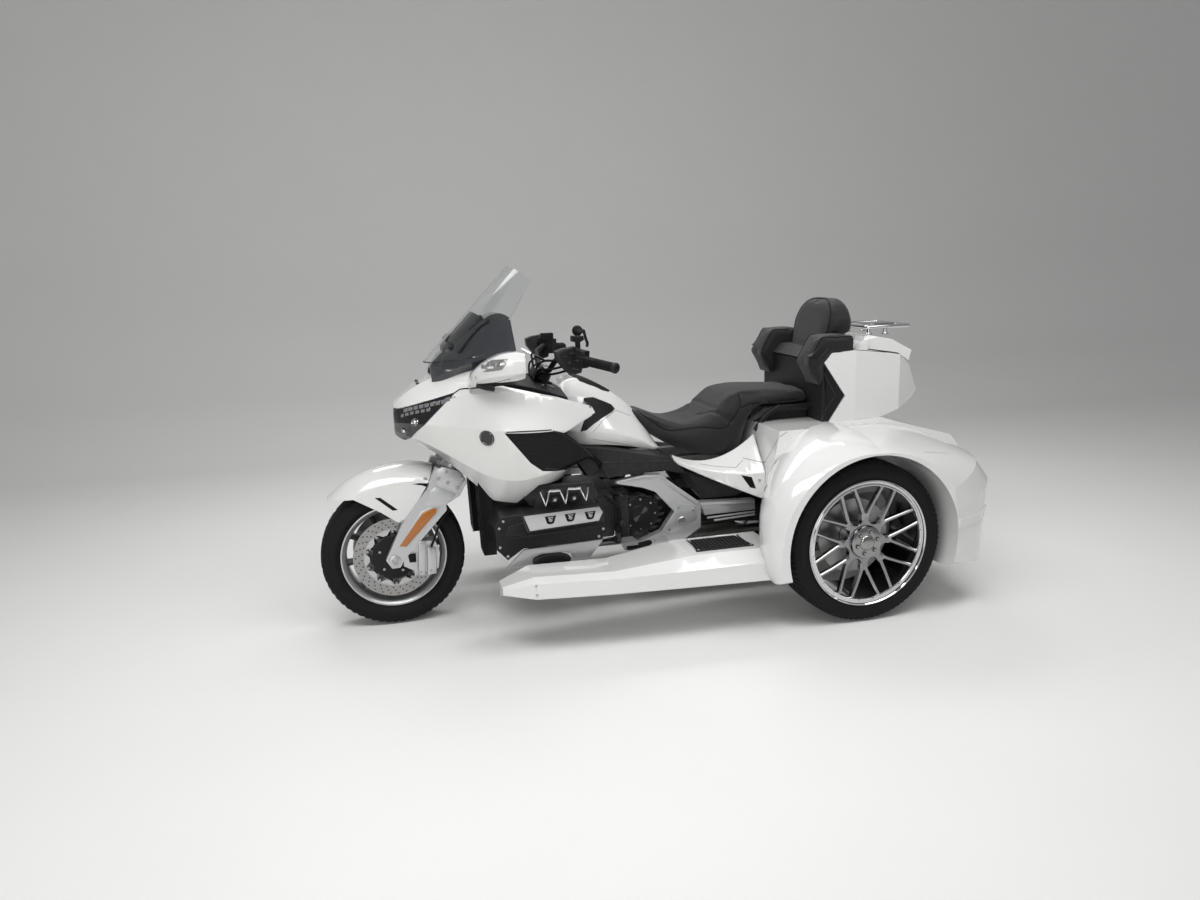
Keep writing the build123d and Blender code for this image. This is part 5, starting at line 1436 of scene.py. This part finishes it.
def lampTrim():
    form = Form()
    tileRow(form, at(76, -103, 873), at(251, -223, 921), lampSurface, 9, 0.78, 15, 1.8)
    tileRow(form, at(64, -98, 852), at(176, -181, 884), lampSurface, 6, 0.70, 12, 1.5)
    tileRow(form, at(47, -72, 837), at(138, -165, 864), lampSurface, 1, 0.96, 3.5, 1.6)
    tileRow(form, at(173, -171, 905), at(270, -232, 934), lampSurface, 1, 0.96, 3.0, 1.6)
    form.done("lampCells", "chassis", ["brightChrome"], twin=True)
    form = Form()
    lens = Form()
    for spot, radius in ((at(113, -162, 836), 15), (at(73, -101, 795), 13)):
        place, normal = seated(spot, lampSurface, 0)
        form.turned([(-2, radius), (2.5, radius), (3.5, radius - 1.5), (2.0, radius - 4), (0.5, radius - 5)],
                    place, normal, 32)
        lens.ball(place, (radius * 0.6, radius * 0.6, radius * 0.6), 24, 14)
    form.done("lampRings", "chassis", ["darkChrome"], twin=True)
    lens.done("lampLenses", "chassis", ["mirrorGlass"], twin=True)


def mirrorTrim():
    form = Form()
    outline = [at(352, -386, 1054), at(384, -403, 1082), at(437, -446, 1087), at(428, -454, 1069),
               at(415, -447, 1050), at(383, -424, 1044), at(353, -389, 1040)]
    patch(form, outline, mirrorSurface, 0.8, step=14, rim=2.0)
    form.done("mirrorLampBase", "chassis", ["lampGrey"], twin=True)
    form = Form()
    tileRow(form, at(350, -371, 1055), at(417, -448, 1069), mirrorSurface, 4, 0.74, 13, 2.2)
    tileRow(form, at(372, -394, 1070), at(427, -446, 1081), mirrorSurface, 1, 0.98, 2.6, 2.2)
    tileRow(form, at(359, -398, 1044), at(410, -444, 1053), mirrorSurface, 1, 0.98, 2.2, 2.2)
    form.done("mirrorLampCells", "chassis", ["brightChrome"], twin=True)
    form = Form()
    rear = [(-448, 1038), (-448, 1074), (-427, 1095), (-365, 1095), (-344, 1074), (-344, 1038), (-365, 1017),
            (-427, 1017)]
    form.prism(rear, at(499.6, 0, 0), (0, 1, 0), (0, 0, 1), 1.6, 0.6)
    form.done("mirrorPlates", "chassis", ["mirrorGlass"], twin=True)
    sideSeams("mirrorSeams", "mattBlack", mirrorSurface, [
        ([at(330, -350, 1020), at(336, -355, 998)], 1.1),
        ([at(339, -353, 992), at(392, -409, 1001), at(443, -444, 1016)], 1.1)])


def screenTrim():
    cowl = surfaceOf("screen_cowl")
    form = Form()
    for low, high in ((at(276, -81, 1101), at(407, -2, 1206)), (at(302, -124, 1090), at(424, -86, 1198))):
        line = [seated(Vector(low).lerp(Vector(high), k / 8), cowl, 5.0, (1, 0, 0))[0] for k in range(9)]
        form.tube(line, [7, 6.4, 6, 6, 6, 6, 6, 6.4, 7], 12)
        for end in (line[0], line[-1]):
            form.ball(end, (10, 10, 10), 14, 10)
    form.tube([at(332, -352, 987), at(364, -350, 977), at(397, -345, 968)], [8, 10, 9], 12)
    form.done("screenRails", "chassis", ["satinBlack"], twin=True)
    form = Form()
    place, normal = seated(at(141, 44, 966), surfaceOf("front_cowl"), 0)
    form.ball(place + normal * 0.002, (7, 7, 6), 16, 10)
    form.done("cowlKnobs", "chassis", ["glossBlack"], twin=True)


sideCoin = {"place": (362, -333, 787), "radius": 30, "height": 3.2, "dish": 0.8}


def fairingTrim():
    form = Form()
    place, normal = seated(at(*sideCoin["place"]), surfaceOf("fairing_left"), 0)
    radius, height, dish = sideCoin["radius"], sideCoin["height"], sideCoin["dish"]
    form.turned([(-2, radius), (height - 1, radius), (height, radius - 1.2), (height, radius * dish),
                 (height * 0.6, radius * (dish - 0.04)), (height * 0.6, 0.01)], place, normal, 40)
    form.done("sideCoins", "chassis", ["glossBlack"], twin=True)
    form = Form()
    form.turned([(3.2, 24.5), (3.9, 25.5), (3.2, 26.5)], place, normal, 48)
    form.done("coinRings", "chassis", ["darkChrome"], twin=True)
    form = Form()
    insert = [at(775, -163, 886), at(815, -150, 884), at(853, -144, 867), at(892, -134, 848), at(905, -144, 831),
              at(890, -159, 822), at(839, -191, 805), at(798, -213, 786), at(766, -224, 766), at(742, -223, 764),
              at(762, -206, 802), at(796, -196, 818), at(811, -185, 833), at(805, -178, 849), at(787, -175, 861),
              at(768, -174, 866)]
    patch(form, insert, leftSkin, 2.0, step=8, rim=5.0)
    form.done("sideInserts", "chassis", ["satinBlack"], twin=True)
    form = Form()
    top = surfaceOf("tank_cover")
    pad = [(764, 0), (764, 60), (778, 88), (810, 96), (870, 92), (900, 78), (912, 50), (914, 0), (912, -50),
           (900, -78), (870, -92), (810, -96), (778, -88), (764, -60)]
    patch(form, [at(x, y, 1300) for x, y in pad], top, 2.6, step=10, rim=5.0, toward=(0, 0, -1))
    form.done("tankPad", "chassis", ["gripRubber"])
    sideSeams("skinSeams", "mattBlack", leftSkin, [
        ([at(906, -148, 826), at(940, -131, 812), at(976, -115, 793)],),
        ([at(905, -149, 825), at(842, -195, 797), at(786, -223, 753)], 0.8),
        ([at(793, -216, 728), at(917, -200, 697), at(1172, 77, 605)], 0.8)])
    sideSeams("coverRibs", "satinBlack", leftSkin, [
        ([at(602, -384, 805), at(645, -357, 782), at(732, -317, 714), at(802, -262, 642), at(842, -241, 586)],
         3.4, -0.6),
        ([at(826, -241, 635), at(904, -241, 629), at(1014, -241, 623), at(1100, -241, 618)], 2.6, -0.6),
        ([at(428, -377, 812), at(506, -397, 813), at(596, -384, 809)], 2.6, -0.6),
        ([at(575, -345, 656), at(650, -312, 640), at(764, -114, 576)], 2.6, -0.6)])
    slats = [[at(449, -375, 795), at(603, -373, 783)], [at(467, -374, 771), at(640, -353, 753)],
             [at(486, -371, 747), at(673, -337, 723)], [at(508, -367, 722), at(701, -325, 694)],
             [at(532, -358, 694), at(740, -241, 648)]]
    sideSeams("ventSlats", "mattBlack", leftSkin, [(slat, 2.2, -0.4) for slat in slats])


lampTrim()
mirrorTrim()
screenTrim()
fairingTrim()
print("stage: front trim")


# Handlebar dressing

gripSpec = {"start": (724, -292, 1056), "end": (822, -450, 1034), "ribs": 22, "core": 15, "rib": 18.2, "groove": 16.6}


def handTrim():
    form = Form()
    gripStart, gripEnd = at(*gripSpec["start"]), at(*gripSpec["end"])
    along = (gripEnd - gripStart).normalized()
    length = (gripEnd - gripStart).length * 1000
    pitch = length / gripSpec["ribs"]
    profile = [(-2, gripSpec["core"])]
    for i in range(gripSpec["ribs"]):
        start = length * i / gripSpec["ribs"]
        profile += [(start + 1.2, gripSpec["rib"]), (start + pitch * 0.62, gripSpec["rib"]),
                    (start + pitch * 0.8, gripSpec["groove"])]
    profile += [(length, gripSpec["core"])]
    form.turned(profile, gripStart, along, 28)
    form.done("gripRibs", "handlebar", ["gripRubber"], twin=True)
    form = Form()
    form.turned([(0, 12), (0, 18), (3, 20), (13, 20), (16, 17), (16, 9), (12, 7), (12, 0.01)], gripEnd, along, 32)
    form.turned([(-14, 15), (-14, 22), (-11, 23.5), (-3, 23.5), (0, 21), (0, 15)], gripStart, along, 32)
    form.done("gripEnds", "handlebar", ["satinBlack"], twin=True)
    form = Form()
    box = [(633, 1090), (660, 1100), (708, 1106), (743, 1083), (746, 1064), (736, 1031), (729, 1008), (705, 1002),
           (679, 1008), (660, 1029), (636, 1060)]
    form.prism(box, at(0, -296, 0), (1, 0, 0), (0, 0, 1), 46, 9)
    form.done("switchHousings", "handlebar", ["satinBlack"], twin=True, angle=50)
    form = Form()
    buttons = [(681, 1052, 16, 12), (664, 1076, 22, 9), (692, 1085, 26, 10), (711, 1060, 14, 14), (702, 1027, 30, 10)]
    for x, z, length, width in buttons:
        tile(form, at(x, -342, z), (0, -1, 0), (1, 0, -0.3), length, width, 5, 1.2)
    form.done("switchButtons", "handlebar", ["glossBlack"], twin=True)
    form = Form()
    arm = [at(733, -372, 1170), at(736, -376, 1151), at(739, -380, 1136), at(744, -380, 1121), at(741, -380, 1108)]
    form.tube(smoothLine(arm, 8), 5.5, 10)
    form.tube([at(711, -370, 1165), at(733, -372, 1166)], 8, 12)
    form.prism([(687, 1150), (731, 1148), (734, 1134), (713, 1122), (686, 1130)], at(0, -352, 0),
               (1, 0, 0), (0, 0, 1), 26, 5)
    form.done("holderBracket", "handlebar", ["mattBlack"])
    cables = [[at(690, -262, 1030), at(640, -190, 1010), at(610, -110, 1000), at(600, -60, 960)],
              [at(700, -268, 1014), at(650, -180, 990), at(618, -100, 985), at(604, -40, 950)],
              [at(672, -250, 1046), at(630, -150, 1040), at(616, -60, 1016), at(612, -20, 980)]]
    sideTubes("barCables", "handlebar", "gripRubber",
              [(smoothLine(cable, 12), 4.6, 8) for cable in cables])
    form = Form()
    for spot in ((650, -44, 1004), (650, -16, 1004), (668, -44, 1000), (668, -16, 1000)):
        form.bolt(at(*spot), (0.12, 0, 1), 5, 5)
    form.done("clampBolts", "handlebar", ["boltSteel"], twin=True)


def dashTrim():
    sideSeams("dashStrips", "brightChrome", surfaceOf("dash_cowl"),
              [([at(611, -200, 996), at(658, -200, 964)], 5, 2.0)], toward=None)
    form = Form()
    form.tube([at(586, -150, 1065), at(632, -150, 1038)], 6, 12, flat=0.5)
    form.done("barStrips", "handlebar", ["brightChrome"], twin=True)


handTrim()
dashTrim()
print("stage: handlebar trim")

# Rear: seat cowls, rear body, running boards, trunk

def cowlTrim():
    skin = surfaceOf("seat_cowls", "rear_body")
    form = Form()
    patch(form, [at(1390, -295, 547), at(1429, -311, 539), at(1445, -319, 491), at(1424, -310, 495)],
          surfaceOf("seat_cowls"), 1.0, step=12, rim=3)
    form.done("cowlVents", "chassis", ["mattBlack"], twin=True)
    form = Form()
    place, normal = seated(at(1458, -325, 527), skin, 0)
    form.bolt(place, normal, 6, 4)
    form.done("cowlScrews", "chassis", ["boltSteel"], twin=True)
    sideSeams("cowlSeams", "mattBlack", skin, [
        ([at(1415, -253, 608), at(1484, -319, 598), at(1494, -363, 659), at(1505, -400, 714), at(1541, -400, 733)],),
        ([at(1240, -222, 592), at(1378, -268, 574), at(1413, -258, 600)], 0.9)], toward=None)
    form = Form()
    box = [(1225, 438), (1468, 427), (1470, 385), (1247, 381)]
    form.prism(box, at(0, -215, 0), (1, 0, 0), (0, 0, 1), 44, 5)
    for a, b in ((at(1259, -250, 368), at(1470, -250, 374)), (at(1290, -250, 354), at(1470, -250, 362))):
        form.tube([a, b], 4.5, 8)
    form.tube([at(1225, -262, 429), at(1461, -262, 418)], 2.5, 8)
    form.done("sideGuards", "chassis", ["castSilver"], twin=True)


def bodyTrim():
    skin = surfaceOf("rear_body")
    sideSeams("bodySeams", "mattBlack", skin, [([at(1990, -639, 664), at(2140, -594, 637)], 0.7)])
    form = Form()
    patch(form, [at(2128, -690, 394), at(2392, -690, 402), at(2392, -690, 366), at(2128, -690, 358)], skin, 4.0,
          step=16, rim=6)
    form.done("bumperStrips", "chassis", ["fenderWhite"], twin=True)


matSpec = {"first": 1122, "last": 1340, "step": 16, "inner": -394, "outer": -516, "height": 327, "rib": 2.6}


def boardTrim():
    skin = surfaceOf("running_boards")
    form = Form()
    for spot in (at(479, -571, 280), at(481, -572, 244)):
        form.ball(seated(spot, skin, 0)[0], (5, 5, 5), 14, 8)
    form.done("boardRivets", "chassis", ["boltSteel"], twin=True)
    form = Form()
    hump = [at(605, -470, 300), at(630, -452, 300), at(750, -450, 298), at(778, -462, 297), at(694, -484, 298)]
    patch(form, hump, skin, 7.0, step=14, rim=9, toward=(0, 0, -1))
    form.done("boardHumps", "chassis", ["fenderWhite"], twin=True)
    height = matSpec["height"]
    sideTubes("matRibs", "chassis", "gripRubber",
              [([at(x, matSpec["outer"], height), at(x, matSpec["inner"], height)], matSpec["rib"], 6)
               for x in range(matSpec["first"], matSpec["last"], matSpec["step"])])
    form = Form()
    for x, y in ((1120, -392), (1335, -392), (1120, -518), (1335, -518)):
        form.bolt(at(x, y, 326.5), (0, 0, 1), 5, 4)
    form.done("matBolts", "chassis", ["boltSteel"], twin=True)


def trunkTrim():
    skin = surfaceOf("trunk_body", "trunk_lid", "trunk_panels")
    sideSeams("trunkSeams", "mattBlack", skin,
              [([at(1891, -294, 1029), at(1994, -278, 1016), at(2127, -220, 997), at(2125, -258, 976)], 1.2)])
    sideSeams("trunkRibs", "satinBlack", skin,
              [([at(1728, -294, 985), at(1772, -284, 914), at(1811, -284, 842), at(1770, -284, 793),
                 at(1752, -251, 745)], 3.2, -0.8)])


rackSpec = {
    # mm: corners of the outer rail, rails along at y, rails across at x, and the radius of each kind
    "front": 2054, "rear": 2226, "side": 118, "corner": 15, "height": 1103, "tube": 8,
    "bars": (-78, -39, 0, 39, 78), "bar": 5.5, "crossBars": (2080, 2200), "crossBar": 5,
}


def rackTrim():
    form = Form()
    ring = []
    front, rear, side, height = rackSpec["front"], rackSpec["rear"], rackSpec["side"], rackSpec["height"]
    for cx, cy, start in ((rear, side, 0), (front, side, 90), (front, -side, 180), (rear, -side, 270)):
        for k in range(7):
            angle = math.radians(start + 90 * k / 6)
            corner = rackSpec["corner"]
            ring.append(at(cx + corner * math.cos(angle), cy + corner * math.sin(angle), height))
    form.tube(ring + [ring[0]], rackSpec["tube"], 14)
    for y in rackSpec["bars"]:
        form.tube([at(front - 12, y, height), at(rear + 12, y, height)], rackSpec["bar"], 12)
    for x in rackSpec["crossBars"]:
        form.tube([at(x, -side - 10, height - 2), at(x, side + 10, height - 2)], rackSpec["crossBar"], 12)
    form.done("rackRails", "trunk_lid", ["brightChrome"], ("luggage_rack",))
    form = Form()
    plate = [(2110, -66), (2210, -66), (2226, -50), (2226, 50), (2210, 66), (2110, 66), (2096, 50), (2096, -50)]
    form.prism(plate, at(0, 0, 1106), (1, 0, 0), (0, 1, 0), 5, 2)
    form.done("rackPlate", "trunk_lid", ["darkChrome"])
    form = Form()
    for x, y in ((2070, -90), (2070, 90), (2150, -90), (2150, 90)):
        form.turned([(0, 16), (4, 16), (7, 9), (34, 8), (36, 0.01)], at(x, y, 1068), (0, 0, 1), 20)
    form.done("rackPosts", "trunk_lid", ["brightChrome"])


cowlTrim()
bodyTrim()
boardTrim()
trunkTrim()
rackTrim()
print("stage: rear trim")
